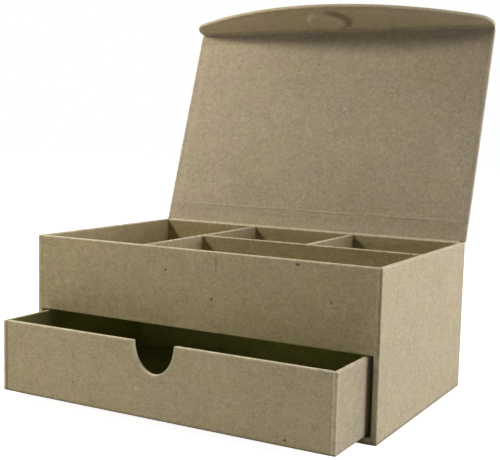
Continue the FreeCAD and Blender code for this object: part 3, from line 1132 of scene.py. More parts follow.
@dataclass
class Lid:
    """The lid's board and the paper sheet on its inner face."""

    papers: Papers
    place: LidFrame
    rear_margin: float = 0.35
    cell: float = 3.0
    lining_cell: float = 1.1
    lining_from_fold: float = 8.6
    lining_from_hinge: float = 12.6
    turn_in: float = 11.0
    turn_in_rise: float = 0.10
    turn_in_slope: float = 4.5
    edge_press: float = 0.30
    press_reach: float = 7.0
    # Painted shade of the flap on the lid's inner side: its strength and reach from the fold.
    flap_shade_strength: float = 0.30
    flap_shade_reach: float = 95.0
    lap: Ridge = Ridge(0.22, 1.2, 0.8, 0.8)
    second: Ridge = Ridge(0.16, 3.4, 1.3, 0.6)

    def board(self) -> Plate:
        """Return the lid's board."""
        edge, half = STOCK.edge_round, STOCK.half_width
        low = self.place.fold.y + STOCK.fold_gap
        high = self.place.hinge.y - self.rear_margin
        along = stations(-half, half, self.cell, (edge, edge))
        return Plate(
            "lid_board_wrapped", self.place.placement(self.place.hinge.z + STOCK.seat), along,
            np.full(len(along), low), np.full(len(along), high), STOCK.lid_thick,
            Rounds.even(edge), Rounds.even(edge), self.cell, corner=1.0,
            far_relief=PaperRelief(seed=21.0), wear_and_highlight=Rounds(0.5, 0.5, 0.3, 0.3),
        )

    def past_turn_in(self, flat: np.ndarray) -> np.ndarray:
        """Return how far points lie inside the turned-in paper's wavering edge, in slopes."""
        side_gap = STOCK.half_width - np.abs(flat[:, 0])
        waver = np.array([0.8 * noise.noise((0.0, up / 17.0, 3.0)) for up in flat[:, 1]])
        return (side_gap - self.turn_in - waver) / self.turn_in_slope

    def lining_relief(self, flat: np.ndarray) -> np.ndarray:
        """Return the lining's depths: lowest in the middle, proud over the turned-in paper."""
        depths = PaperRelief(wave=0.10, wave_size=30.0, wrinkle=0.08, wrinkle_size=3.2, seed=23.0)(flat)
        return depths + self.turn_in_rise * smooth(self.past_turn_in(flat))

    def lining_sink(self, flat: np.ndarray) -> np.ndarray:
        """Return how far the sheet's side edges are pressed down towards the board."""
        side_gap = STOCK.half_width - STOCK.inset - np.abs(flat[:, 0])
        return self.edge_press * smooth(1.0 - side_gap / self.press_reach)

    def lining_rise(self, flat: np.ndarray) -> np.ndarray:
        """Return the ridges near the hinge, where the sheet laps over the hinge paper."""
        from_edge = self.place.hinge.y - self.lining_from_hinge - flat[:, 1]
        waver = np.array([noise.noise((along / 31.0, 0.0, 9.0)) for along in flat[:, 0]])
        strength = np.array([0.5 + noise.noise((along / 19.0, 4.0, 2.0)) for along in flat[:, 0]])
        lap = self.lap.over(from_edge, waver)
        second = self.second.over(from_edge, waver) * np.clip(strength, 0, 1)
        side_gap = STOCK.half_width - np.abs(flat[:, 0])
        sides = smooth((side_gap - 6.0) / 22.0)
        band = self.turn_in_rise * smooth(1.0 - self.past_turn_in(flat))
        return (lap + second) * sides + band * smooth((side_gap - 4.0) / 4.0)

    def flap_shade_on_lid(self, points: np.ndarray) -> np.ndarray:
        """Return the painted shade of the flap on the lid's inner side: darker towards the fold, most on
        the right.
        """
        fold = self.place.opened(self.place.fold)
        down = np.linalg.norm(points[:, 1:] - np.array(fold)[1:], axis=1)
        across = Fade("x", -115.0, -5.0)(points) + Fade("x", 20.0, 110.0, high=0.25)(points)
        return self.flap_shade_strength * across * smooth((self.flap_shade_reach - down) / self.flap_shade_reach)

    def lining(self) -> Plate:
        """Return the paper sheet on the lid's inner face."""
        half = STOCK.half_width - STOCK.inset
        edge = STOCK.hidden_round
        low = self.place.fold.y + self.lining_from_fold
        high = self.place.hinge.y - self.lining_from_hinge
        along = stations(-half, half, self.lining_cell, (edge, edge))
        depth = self.place.hinge.z + STOCK.seat - STOCK.glue - STOCK.paper
        return Plate(
            "lid_lining_paper", self.place.placement(depth), along,
            np.full(len(along), low), np.full(len(along), high), STOCK.skin,
            Rounds.even(edge), Rounds.even(edge), self.lining_cell, near_relief=self.lining_relief,
            rise=self.lining_rise, sink=self.lining_sink, painted_shade=self.flap_shade_on_lid, wear_and_highlight=NO_WEAR,
        )

    def build(self) -> list[Piece]:
        """Build, place and return the lid's board and lining."""
        plates = ((self.board(), "lid_board"), (self.lining(), "lid_lining"))
        return [settle(plate.build(self.papers.lid), "lid_kraft", "lid", node) for plate, node in plates]


@dataclass
class Flap:
    """The lid's front flap, with a long curved edge and a round boss over its magnet."""

    papers: Papers
    place: LidFrame
    depth: float = 39.0
    end_depth: float = 11.5
    corner: float = 13.0
    lining_from_fold: float = 4.5
    magnet_from_fold: float = 18.8
    magnet_radius: float = 11.0
    magnet_thick: float = 1.8
    shoulder: float = 3.0
    spread: float = 1.25
    edge_press: float = 0.26
    # Painted shade in a ring on the right of the boss, then a painted highlight on its left shoulder.
    boss_shade: float = 1.0
    shade_offset: float = 2.0
    shade_width: float = 2.3
    boss_highlight: float = 0.95
    highlight_offset: float = 0.8
    highlight_width: float = 1.4
    press_reach: float = 2.4
    end_steps: tuple[float, ...] = (0.0, 0.35, 1.0, 1.8, 2.8, 4.0, 5.5)

    def edge_line(self, along: np.ndarray, inset: float) -> np.ndarray:
        """Return how far the curved edge lies from the fold line at each station.

        Args:
            along: Stations along the flap.
            inset: How far inside the board's edge the outline runs.

        Returns:
            The distances from the fold line.
        """
        half = STOCK.half_width - inset
        sag = self.depth - self.end_depth
        radius = (half ** 2 + sag ** 2) / (2 * sag)
        centre = self.depth - inset - radius
        arc = centre + np.sqrt(radius ** 2 - along ** 2)
        corner = self.corner - inset
        reach = radius - corner
        centre_x = half - corner
        centre_v = centre + math.sqrt(reach ** 2 - centre_x ** 2)
        past = np.clip(np.abs(along) - centre_x, 0.0, corner)
        bend = centre_v + np.sqrt(np.maximum(corner ** 2 - past ** 2, 0.0))
        tangent_x = centre_x * radius / reach
        return np.where(np.abs(along) > tangent_x, bend, arc)

    def lining_sink(self, flat: np.ndarray) -> np.ndarray:
        """Return how far the lining's curved edge is pressed down towards the board."""
        reach = self.place.fold.y - flat[:, 1]
        rim_gap = self.edge_line(flat[:, 0], STOCK.inset) - reach
        side_gap = STOCK.half_width - STOCK.inset - np.abs(flat[:, 0])
        return self.edge_press * smooth(1.0 - np.minimum(rim_gap, side_gap) / self.press_reach)

    def ring(self, gap: np.ndarray, offset: float, width: float) -> np.ndarray:
        """Return how near distances from the boss's centre are to a ring round the magnet."""
        return np.exp(-((gap - self.magnet_radius - offset) / width) ** 2)

    def boss_painted_shade(self, points: np.ndarray) -> np.ndarray:
        """Return the painted shade in a ring on the right of the boss, in the flap's plane."""
        gap, across, _ = self.boss_place(points)
        ring = self.ring(gap, self.shade_offset, self.shade_width)
        return self.boss_shade * ring * smooth(0.25 + across / np.maximum(gap, 1e-6))

    def boss_painted_highlight(self, points: np.ndarray) -> np.ndarray:
        """Return the painted highlight on the boss's shoulder, most on its left and outer side."""
        gap, across, up = self.boss_place(points)
        ring = self.ring(gap, self.highlight_offset, self.highlight_width)
        turned = (0.5 * up - across) / np.maximum(gap, 1e-6)
        return self.boss_highlight * ring * smooth(turned - 0.2)

    def boss_place(self, points: np.ndarray) -> tuple[np.ndarray, np.ndarray, np.ndarray]:
        """Return points' distances from the boss's centre, and how far they lie across and out.

        Args:
            points: Rows of (x, y, z) at rest.

        Returns:
            The distances in the flap's plane, their parts along X, and those away from the fold.
        """
        fold = self.place.opened(self.place.fold)
        outward = (self.place.folded(self.place.fold - AXIS_WAY["y"]) - fold).normalized()
        up = (points - np.array(fold)) @ np.array(outward) - self.magnet_from_fold
        across = points[:, 0] / self.spread
        return np.hypot(across, up), across, up

    def leaf(self, name: str, inset: float, start: float, low: float, thick: float, rounding: float,
             cell: float, rise: Optional[Relief], seed: float) -> Plate:
        """Return a plate of the flap's outline.

        Args:
            name: The piece's name.
            inset: How far inside the board's edge the outline runs.
            start: How far from the fold line it starts.
            low: The height of its near face in the closed lid.
            thick: Its thickness.
            rounding: The radius of its edges.
            cell: The grid's spacing.
            rise: A form raised out of its near face.
            seed: Moves the relief's pattern.

        Returns:
            The plate.
        """
        half = STOCK.half_width - inset
        base = stations(-half, half, cell, (rounding, rounding))
        near_ends = [sign * (half - rounding - step) for sign in (-1, 1) for step in self.end_steps]
        along = np.unique(np.round(np.concatenate([base, near_ends]), 4))
        along = along[self.edge_line(along, inset) > start + 2.5 * rounding]
        rounds = Rounds.even(rounding)
        fold_y = self.place.fold.y
        relief = PaperRelief(wave=0.04, wrinkle=0.03, wrinkle_size=3.6, seed=seed)
        return Plate(
            name, self.place.placement(low, on_flap=True), along,
            fold_y - self.edge_line(along, inset), np.full(len(along), fold_y - start), thick,
            rounds, rounds, cell, near_relief=relief, rise=rise, curved=True,
            # Painted shade and a painted highlight round the boss, on the lining only.
            sink=self.lining_sink if rise else None, painted_shade=self.boss_painted_shade if rise else None,
            painted_highlight=self.boss_painted_highlight if rise else None,
            wear_and_highlight=NO_WEAR if rise else Rounds.even(0.15, head=0.0),
        )

    def boss(self, flat: np.ndarray) -> np.ndarray:
        """Return how far the lining stands up over the magnet: flat, then two tangent arcs.

        Args:
            flat: Rows of (x, y) in the closed, flat lid. The paper stands off the disc along X.

        Returns:
            The height of the lining over the board at each row.
        """
        across = flat[:, 0] / self.spread
        gap = np.hypot(across, flat[:, 1] - self.place.fold.y + self.magnet_from_fold)
        run, drop = self.shoulder / 2, self.magnet_thick / 2
        radius = (run ** 2 + drop ** 2) / (2 * drop)
        past = np.clip(gap - self.magnet_radius, 0.0, self.shoulder)
        upper = radius - np.sqrt(radius ** 2 - np.minimum(past, run) ** 2)
        lower = radius - np.sqrt(radius ** 2 - np.minimum(self.shoulder - past, run) ** 2)
        return np.where(past < run, self.magnet_thick - upper, lower)

    def build(self) -> list[Piece]:
        """Build, place and return the flap's board and lining, and dress its magnet."""
        inner = self.place.hinge.z + STOCK.seat
        board = self.leaf("flap_board_wrapped", 0.0, STOCK.fold_gap, inner, STOCK.lid_thick,
                          STOCK.edge_round, 2.5, None, 31.0)
        lining = self.leaf("flap_lining_paper", STOCK.inset, self.lining_from_fold,
                           inner - STOCK.glue - STOCK.paper, STOCK.paper, STOCK.hidden_round, 0.9,
                           self.boss, 33.0)
        dress("clasp_magnet", self.papers.steel)
        plates = ((board, "flap_board"), (lining, "flap_lining"))
        return [settle(plate.build(self.papers.flap), "lid_kraft", "flap", node) for plate, node in plates]


def rounded_path(points: Sequence[Vector], radii: Sequence[float], step: float = 1.0) -> list[Vector]:
    """Return close points along a route whose corners are rounded.

    Args:
        points: The route's corners with its two ends, in millimetres.
        radii: The rounding of each corner, 0 for a sharp one.
        step: The spacing along its straight runs.

    Returns:
        The points in order.
    """
    stops = [points[0]]
    for corner, after, radius in zip(points[1:], points[2:], radii):
        back = (stops[-1] - corner).normalized()
        onward = (after - corner).normalized()
        if radius == 0:
            stops.append(corner)
            continue
        half_angle = back.angle(onward) / 2
        reach = radius / math.tan(half_angle)
        inward = (back + onward).normalized()
        centre = corner + inward * (radius / math.sin(half_angle))
        first = corner + back * reach - centre
        last = corner + onward * reach - centre
        shares = np.linspace(0.0, 1.0, ARC_POINTS)
        stops.extend(centre + first.slerp(last, float(share)) for share in shares)
    stops.append(points[-1])
    route = [stops[0]]
    for here, there in zip(stops, stops[1:]):
        count = max(1, round((there - here).length / step))
        route.extend(here.lerp(there, number / count) for number in range(1, count + 1))
    return route


def new_tree(name: str, numbers: Sequence[str], count: str) -> Tree:
    """Make a geometry tree that turns a shape, some numbers, a count and a finish into a shape."""
    tree = bpy.data.node_groups.new(name, "GeometryNodeTree")
    kinds = {"Geometry": "Geometry", **dict.fromkeys(numbers, "Float"), count: "Int",
             "Finish": "Material"}
    for title, kind in kinds.items():
        tree.interface.new_socket(title, in_out="INPUT", socket_type="NodeSocket" + kind)
    tree.interface.new_socket("Geometry", in_out="OUTPUT", socket_type="NodeSocketGeometry")
    return tree


def end_tree(tree: Tree, shape: Node, finish: Socket) -> Tree:
    """End a geometry tree: make its shape real, give it its finish and pass it out."""
    whole = node_of(tree, "GeometryNodeRealizeInstances", {"Geometry": shape})
    dressed = node_of(tree, "GeometryNodeSetMaterial", {"Geometry": whole, "Material": finish})
    node_of(tree, "NodeGroupOutput", {"Geometry": dressed})
    return tree


@dataclass
class StripTree:
    """A geometry tree that sweeps a sheet of paper along a route, across the box's width."""

    name: str = "paper_strip"

    def build(self) -> Tree:
        """Make the tree.

        Returns:
            The tree, with inputs Width, Cells, Thickness, Relief, Relief Size and Finish.
        """
        tree = new_tree(self.name, ("Width", "Thickness", "Relief", "Relief Size"), "Cells")
        given = node_of(tree, "NodeGroupInput").outputs
        route = node_of(tree, "GeometryNodeMeshToCurve", {"Mesh": given["Geometry"]})
        inputs = {"Curve": route, "Normal": (1.0, 0.0, 0.0)}
        normal = node_of(tree, "GeometryNodeSetCurveNormal", inputs, mode="FREE")
        half = arithmetic(tree, "MULTIPLY", given["Width"], 0.5)
        left = node_of(tree, "ShaderNodeCombineXYZ", {0: arithmetic(tree, "MULTIPLY", half, -1.0)})
        right = node_of(tree, "ShaderNodeCombineXYZ", {0: half})
        across = node_of(tree, "GeometryNodeCurvePrimitiveLine", {"Start": left, "End": right})
        profile = node_of(tree, "GeometryNodeResampleCurve", {"Curve": across, "Count": given["Cells"]})
        sheet = node_of(tree, "GeometryNodeCurveToMesh", {"Curve": normal, "Profile Curve": profile})
        texture = node_of(tree, "ShaderNodeTexNoise",
                          {"Scale": arithmetic(tree, "DIVIDE", 1.0, given["Relief Size"])})
        depth = arithmetic(tree, "MULTIPLY", texture.outputs["Fac"], given["Relief"])
        facing = node_of(tree, "GeometryNodeInputNormal")
        inputs = {0: facing, "Scale": arithmetic(tree, "MULTIPLY", depth, -1.0)}
        push = node_of(tree, "ShaderNodeVectorMath", inputs, operation="SCALE")
        uneven = node_of(tree, "GeometryNodeSetPosition", {"Geometry": sheet, "Offset": push})
        back = node_of(tree, "GeometryNodeExtrudeMesh", {
            "Individual": False, "Mesh": uneven,
            "Offset Scale": arithmetic(tree, "MULTIPLY", given["Thickness"], -1.0),
        })
        turned = node_of(tree, "GeometryNodeFlipFaces", {"Mesh": back})
        both = node_of(tree, "GeometryNodeJoinGeometry", {0: uneven})
        wire(tree, turned, both.inputs[0])
        closed = node_of(tree, "GeometryNodeMergeByDistance",
                         {"Geometry": both, "Distance": 0.002 * MM})
        return end_tree(tree, closed, given["Finish"])


def grown(name: str, base: Mesh, tree: Tree, values: dict[str, object]) -> Piece:
    """Run a geometry tree on a mesh and keep the result as a plain mesh.

    Args:
        name: The piece's name.
        base: The mesh the tree starts from.
        tree: The tree.
        values: The tree's inputs by name.

    Returns:
        The finished object, with no modifier left on it.
    """
    piece = shown(name, base)
    modifier = piece.modifiers.new(name, "NODES")
    modifier.node_group = tree
    for item in tree.interface.items_tree:
        if item.in_out == "INPUT" and item.name in values:
            modifier[item.identifier] = values[item.name]
    piece.update_tag()
    graph = bpy.context.evaluated_depsgraph_get()
    result = bpy.data.meshes.new_from_object(piece.evaluated_get(graph), depsgraph=graph)
    piece.modifiers.clear()
    piece.data = result
    result.name = name
    return piece


@dataclass
class Hinges:
    """The four paper strips: two over the lid's hinge and two over the flap's fold."""

    papers: Papers
    place: LidFrame
    end_gap: float = 0.5
    reach_lid: float = 13.0
    reach_wall: float = 8.0
    bridge_gap: float = 0.2
    spine_reach: float = 18.0
    fold_reach_lid: float = 10.0
    fold_reach_flap: float = 4.0
    fold_back_reach_lid: float = 16.0
    fold_back_reach_flap: float = 5.5
    lift_off: float = 1.19
    side_reach: float = 7.0
    side_press: float = 0.28
    relief_size: float = 9.0
    # Painted shadow of the flap over the inner fold strip.
    crease_shade: float = 0.30
    cell: float = 3.0
    sharp: float = math.radians(40.0)
    foot_back: float = 1.5
    spine_bend: tuple[float, float] = (0.1, 0.4)
    fold_bend: float = 0.25
    finish_line: float = 0.15
    tree: Tree = field(init=False)
    fold: Vector = field(init=False)
    up_lid: Vector = field(init=False)
    on_flap: Vector = field(init=False)

    def __post_init__(self) -> None:
        """Make the strips' tree, and find the fold at rest and the ways along lid and flap there."""
        self.tree = StripTree().build()
        flat = self.place.fold
        self.fold = self.place.opened(flat)
        self.up_lid = (self.place.opened(flat - AXIS_WAY["y"]) - self.fold).normalized()
        self.on_flap = (self.place.folded(flat - AXIS_WAY["y"]) - self.fold).normalized()

    def opened(self, along_y: float, height: float) -> Vector:
        """Return the rest place of a point of the closed lid."""
        return self.place.opened(Vector((0, along_y, height)))

    def inner_route(self) -> list[Vector]:
        """Return the seen face's route of the inner hinge: over the back wall and up the lid."""
        hinge = self.place.hinge
        wall_top = hinge.z - STOCK.seat
        face_y = hinge.y - STOCK.skin - STOCK.wall - STOCK.skin
        top_face = wall_top + STOCK.skin
        lid_face = hinge.z + STOCK.seat - STOCK.skin
        half_opening = self.place.opening / 2
        drop = STOCK.seat - STOCK.glue
        bridge = STOCK.paper + self.bridge_gap + drop * math.sin(half_opening)
        lift_y = hinge.y - bridge / math.cos(half_opening)
        corners = [
            Vector((0, face_y, wall_top - self.reach_wall)),
            Vector((0, face_y, top_face)),
            Vector((0, lift_y, top_face)),
            self.opened(lift_y, lid_face),
            self.opened(hinge.y - self.reach_lid, lid_face),
        ]
        return rounded_path(corners, [STOCK.edge_round + STOCK.skin, STOCK.paper, STOCK.paper])

    def spine_route(self) -> list[Vector]:
        """Return the seen face's route of the outer hinge: up the back, round the lid's edge."""
        hinge = self.place.hinge
        lid_face = hinge.z + STOCK.seat + STOCK.lid_thick + STOCK.skin
        corners = [
            Vector((0, hinge.y, hinge.z - STOCK.seat - self.spine_reach)),
            hinge,
            self.opened(hinge.y, lid_face),
            self.opened(hinge.y - self.spine_reach, lid_face),
        ]
        return rounded_path(corners, [0.0, STOCK.edge_round + STOCK.skin])

    def fold_route(self, bend: float, lid_reach: float, flap_reach: float) -> list[Vector]:
        """Return a route over the flap's fold.

        Args:
            bend: The seen face's height over the fold line, negative on the inner side.
            lid_reach: How far it runs along the lid.
            flap_reach: How far it runs along the flap.

        Returns:
            The route at rest.
        """
        fold = self.place.fold
        overhang = -bend * math.tan(self.place.folding / 2)
        corners = [
            self.place.opened(fold + Vector((0, lid_reach, bend))),
            self.place.opened(fold + Vector((0, overhang, bend))),
            self.place.folded(fold + Vector((0, -flap_reach, bend))),
        ]
        return rounded_path(corners, [max(bend, 0.0)])

    def strip(self, name: str, route: Sequence[Vector], half_width: float, relief: float) -> Piece:
        """Sweep one strip.

        Args:
            name: The piece's name.
            route: The route of its seen face, in millimetres.
            half_width: Half its width.
            relief: The height of its unevenness.

        Returns:
            The finished strip.
        """
        base = bpy.data.meshes.new(name + "_route")
        points = [tuple(point * MM) for point in route]
        base.from_pydata(points, [(number, number + 1) for number in range(len(points) - 1)], [])
        values = {
            "Width": 2 * half_width * MM,
            "Thickness": STOCK.skin * MM,
            "Relief": relief * MM,
            "Relief Size": self.relief_size * MM,
            "Cells": round(2 * half_width / self.cell) + 1,
            "Finish": self.papers.lid,
        }
        piece = grown(name, base, self.tree, values)
        for polygon in piece.data.polygons:
            polygon.use_smooth = True
        piece.data.set_sharp_from_angle(angle=self.sharp)
        return piece

    def press(self, piece: Piece, foot: Vector, outward: Vector,
              depth: Callable[[Vector], float]) -> None:
        """Press a strip's seen face down towards its board.

        Args:
            piece: The strip.
            foot: A point of the pressed part of the seen face.
            outward: The way off the board.
            depth: How far each point goes down, by its offset from `foot`.
        """
        for vertex in piece.data.vertices:
            offset = vertex.co / MM - foot
            if abs(offset.dot(outward)) < STOCK.skin / 2:
                vertex.co -= outward * (depth(offset) * MM)

    def press_end(self, piece: Piece, end: Vector, inward: Vector, outward: Vector,
                  reach: float, depth: float) -> None:
        """Press a strip down up to an end.

        Args:
            piece: The strip.
            end: A point of the seen face at that end.
            inward: The way along the strip from the end.
            outward: The way off the board.
            reach: How far along the strip the slope runs.
            depth: How far the end is pressed down.
        """
        self.press(piece, end, outward,
                   lambda offset: float(smooth(1.0 - offset.dot(inward) / reach)) * depth)

    def press_sides(self, piece: Piece, foot: Vector, along: Vector, outward: Vector,
                    half_width: float) -> None:
        """Press the two side edges of a strip down.

        Args:
            piece: The strip.
            foot: A point of the seen face where the pressed part starts.
            along: The way along the strip from there.
            outward: The way off the board.
            half_width: Half the strip's width.
        """
        def depth(offset: Vector) -> float:
            """Return how far a point goes down: most at the edge, and nothing before the foot."""
            share = 1.0 - (half_width - abs(offset.x)) / self.side_reach
            return float(smooth(share)) * self.side_press if offset.dot(along) > 0 else 0.0

        self.press(piece, foot, outward, depth)

    def part_finish(self, piece: Piece, finish: Finish, chosen: Callable[[Vector], bool]) -> None:
        """Give the faces whose centres are chosen another finish."""
        piece.data.materials.append(finish)
        for polygon in piece.data.polygons:
            if chosen(polygon.center / MM):
                polygon.material_index = len(piece.data.materials) - 1

    def coat(self, piece: Piece, layer: str, value: Relief) -> None:
        """Store a strip's wear and painted highlight, or its painted shade, at each point."""
        store(piece.data, layer, value(np.array([vertex.co / MM for vertex in piece.data.vertices])))

    def inner_hinge_shade(self) -> PaintedShade:
        """Return the painted shade on the inner hinge: on the wall just under its top, behind the left and
        middle trays.
        """
        wall_top = self.place.hinge.z - STOCK.seat
        return PaintedShade(0.24, (Fade("z", wall_top, wall_top - 0.6), Fade("x", 50.0, 30.0)))

    def inner_wear_and_highlight(self, points: np.ndarray) -> np.ndarray:
        """Return the inner hinge's wear and painted highlight: bright along the top edge of the back wall.
        """
        from_top = points[:, 2] - (self.place.hinge.z - STOCK.seat + STOCK.skin)
        return np.exp(-((from_top + 0.3) / 0.55) ** 2)

    def fold_wear(self, points: np.ndarray) -> np.ndarray:
        """Return the wear of the inner fold: a broken pale line along the crease."""
        gap = np.hypot(points[:, 1] - self.fold.y, points[:, 2] - self.fold.z)
        broken = np.array([noise.noise((along / 14.0, 2.0, 6.0)) for along in points[:, 0]])
        return np.exp(-(gap / 0.5) ** 2) * np.clip(0.45 + 1.2 * broken, 0.0, 1.0)

    def inner_hinge(self) -> None:
        """Build the strip over the back wall's top edge, pressed down at its ends and sides."""
        hinge = self.place.hinge
        half = STOCK.half_width - STOCK.wall - self.end_gap
        off_lid = self.place.opened(self.place.fold - AXIS_WAY["z"]) - self.fold
        route = self.inner_route()
        strip = self.strip("hinge_paper_inner", route, half, relief=0.05)
        self.press_end(strip, route[0], AXIS_WAY["z"], -AXIS_WAY["y"], reach=4.0, depth=0.28)
        self.press_end(strip, route[-1], -self.up_lid, off_lid, reach=1.2, depth=0.05)
        lid_foot = self.opened(hinge.y - self.foot_back, hinge.z + STOCK.seat - STOCK.skin)
        self.press_sides(strip, lid_foot, self.up_lid, off_lid, half)
        wall_top = hinge.z - STOCK.seat - STOCK.edge_round
        self.part_finish(strip, self.papers.tray, lambda centre: centre.z < wall_top)
        # Painted highlight along the wall's top edge, and painted shade just under it.
        self.coat(strip, WEAR_AND_HIGHLIGHT_LAYER, self.inner_wear_and_highlight)
        self.coat(strip, SHADE_LAYER, self.inner_hinge_shade())
        lift = hinge.y - self.lift_off
        self.join("hinge_strip", strip, Vector((0, lift, hinge.z)),
                  self.opened(lift, hinge.z))

    def spine(self) -> None:
        """Build the strip over the back wall's outer face and the lid's rear edge."""
        hinge = self.place.hinge
        strip = self.strip("hinge_paper_spine", self.spine_route()[::-1],
                           STOCK.half_width - self.end_gap, relief=0.04)
        self.part_finish(strip, self.papers.outer, lambda centre: centre.z < hinge.z)
        start, end = (hinge + AXIS_WAY["y"] * behind for behind in self.spine_bend)
        self.join("spine_strip", strip, start, end)

    def outer_fold(self) -> None:
        """Build the strip over the outer side of the flap's fold."""
        bend = STOCK.seat + STOCK.lid_thick + STOCK.skin - (self.place.fold.z - self.place.hinge.z)
        route = self.fold_route(bend, self.fold_back_reach_lid, self.fold_back_reach_flap)
        strip = self.strip("fold_paper_outer", route[::-1], STOCK.half_width - self.end_gap, relief=0.04)
        self.join_fold("fold_strip_outer", strip, bend * math.sin(self.place.folding / 2))

    def inner_fold(self) -> None:
        """Build the strip in the crease of the flap's fold, pressed down at its ends and sides."""
        half = STOCK.half_width - STOCK.inset
        off_lid = self.place.opened(self.place.fold - AXIS_WAY["z"]) - self.fold
        off_flap = self.place.folded(self.place.fold - AXIS_WAY["z"]) - self.fold
        route = self.fold_route(-STOCK.paper / 2, self.fold_reach_lid - self.end_gap,
                                self.fold_reach_flap)
        strip = self.strip("fold_paper_inner", route, half, relief=0.02)
        self.press_end(strip, route[0], self.up_lid, off_lid, reach=2.2, depth=0.14)
        self.press_end(strip, route[-1], -self.on_flap, off_flap, reach=0.8, depth=0.10)
        self.press_sides(strip, route[0], self.up_lid, off_lid, half)
        self.part_finish(strip, self.papers.flap,
                         lambda centre: (centre - self.fold).dot(self.on_flap) > self.finish_line)
        self.coat(strip, WEAR_AND_HIGHLIGHT_LAYER, self.fold_wear)
        # The inner fold strip lies in the flap's shadow: painted shade of one strength.
        self.coat(strip, SHADE_LAYER, lambda points: np.full(len(points), self.crease_shade))
        self.join_fold("fold_strip_inner", strip, self.fold_bend)

    def build(self) -> None:
        """Build the strips, each in the place of its node."""
        self.inner_hinge()
        self.spine()
        self.outer_fold()
        self.inner_fold()

    def join_fold(self, node: str, piece: Piece, reach: float) -> None:
        """Put a strip over the flap's fold in the place of its node."""
        across = (self.up_lid + self.on_flap).normalized() * reach
        self.join(node, piece, self.fold - across, self.fold + across)

    def join(self, node: str, piece: Piece, start: Vector,
             end: Vector) -> None:
        """Put a strip in the place of its node: hide the node and bake the strip's transform.

        Args:
            node: The node it stands for.
            piece: The strip.
            start: Not used.
            end: Not used.
        """
        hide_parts(node)
        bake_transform(piece)
        LOG.info("%s: %d faces", piece.name, len(piece.data.polygons))


@dataclass
class FleckTree:
    """A geometry tree that strews small lens-shaped flecks of fibre over a skin of faces."""

    name: str = "fibre_flecks"

    def random(self, tree: Tree, low: float, high: float, seed: Socket) -> Socket:
        """Add a random number for each fleck and return its socket."""
        node = node_of(tree, "FunctionNodeRandomValue", {"Seed": seed}, data_type="FLOAT")
        numbers = [socket for socket in node.inputs if socket.enabled]
        numbers[0].default_value = low
        numbers[1].default_value = high
        return next(socket for socket in node.outputs if socket.enabled)

    def build(self) -> Tree:
        """Make the tree.

        Returns:
            The tree, with inputs Density, Length, Width, Rise, Seed and Finish.
        """
        tree = new_tree(self.name, ("Density", "Length", "Width", "Rise"), "Seed")
        given = node_of(tree, "NodeGroupInput").outputs
        strewn = node_of(tree, "GeometryNodeDistributePointsOnFaces", {
            "Mesh": given["Geometry"], "Density": given["Density"], "Seed": given["Seed"],
        })
        spin = node_of(tree, "ShaderNodeCombineXYZ",
                       {2: self.random(tree, 0.0, 2 * math.pi, given["Seed"])})
        turn = node_of(tree, "FunctionNodeEulerToRotation", {0: spin})
        facing = node_of(tree, "FunctionNodeRotateRotation",
                         {0: strewn.outputs["Rotation"], 1: turn}, rotation_space="LOCAL")
        form = node_of(tree, "ShaderNodeCombineXYZ",
                       {0: given["Length"], 1: given["Width"], 2: given["Rise"]})
        other_seed = arithmetic(tree, "ADD", given["Seed"], 17.0)
        inputs = {0: form, "Scale": self.random(tree, 0.45, 1.3, other_seed)}
        sized = node_of(tree, "ShaderNodeVectorMath", inputs, operation="SCALE")
        lens = node_of(tree, "GeometryNodeMeshIcoSphere", {"Radius": 0.5, "Subdivisions": 1})
        placed = node_of(tree, "GeometryNodeInstanceOnPoints", {
            "Points": strewn.outputs["Points"], "Instance": lens,
            "Rotation": facing, "Scale": sized,
        })
        return end_tree(tree, placed, given["Finish"])


@dataclass(frozen=True)
class FleckKind:
    """One kind of fibre fleck: how many there are to a square metre, and their size."""

    name: str
    density: float
    length: float
    width: float
    rise: float
    seed: int


@dataclass
class Flecks:
    """The loose fibre in the covering papers, strewn over the faces of each body."""

    papers: Papers
    tree: Tree = field(init=False)
    straw: FleckKind = FleckKind("straw", 5200.0, 1.15, 0.36, 0.05, 3)
    bark: FleckKind = FleckKind("bark", 3000.0, 0.95, 0.30, 0.05, 8)

    def __post_init__(self) -> None:
        """Make the tree that both kinds share."""
        self.tree = FleckTree().build()

    def carrier(self, name: str, pieces: Sequence[Piece]) -> Mesh:
        """Join the faces that carry flecks into one mesh."""
        shell = bmesh.new()
        for piece in pieces:
            shell.from_mesh(piece.data)
        mesh = bpy.data.meshes.new(name)
        shell.to_mesh(mesh)
        shell.free()
        return mesh

    def strew(self, body: str, slot: str, pieces: Sequence[Piece]) -> None:
        """Strew both kinds over the pieces of one body.

        Args:
            body: The body they ride on.
            slot: The body's material slot.
            pieces: The pieces that carry the flecks.
        """
        for kind, finish in ((self.straw, self.papers.straw), (self.bark, self.papers.bark)):
            name = f"{body}_{kind.name}_flecks"
            values = {
                "Density": kind.density,
                "Length": kind.length * MM,
                "Width": kind.width * MM,
                "Rise": kind.rise * MM,
                "Seed": kind.seed,
                "Finish": finish,
            }
            flecks = grown(name, self.carrier(name + "_skin", pieces), self.tree, values)
            for vertex in flecks.data.vertices:
                vertex.co.z = max(vertex.co.z, 0.0)
            settle(flecks, slot, body)


class Ground(Enum):
    """The flat faces that carry single specks."""

    FRONT = "front_panel"
    DRAWER = "drawer_front"
    LID = "lid_lining"


@dataclass(frozen=True)
class Speck:
    """One larger speck of fibre: its face, its place across and up it, its length and its turn."""

    ground: Ground
    across: float
    up: float
    length: float
    turn: float
    pale: bool = False


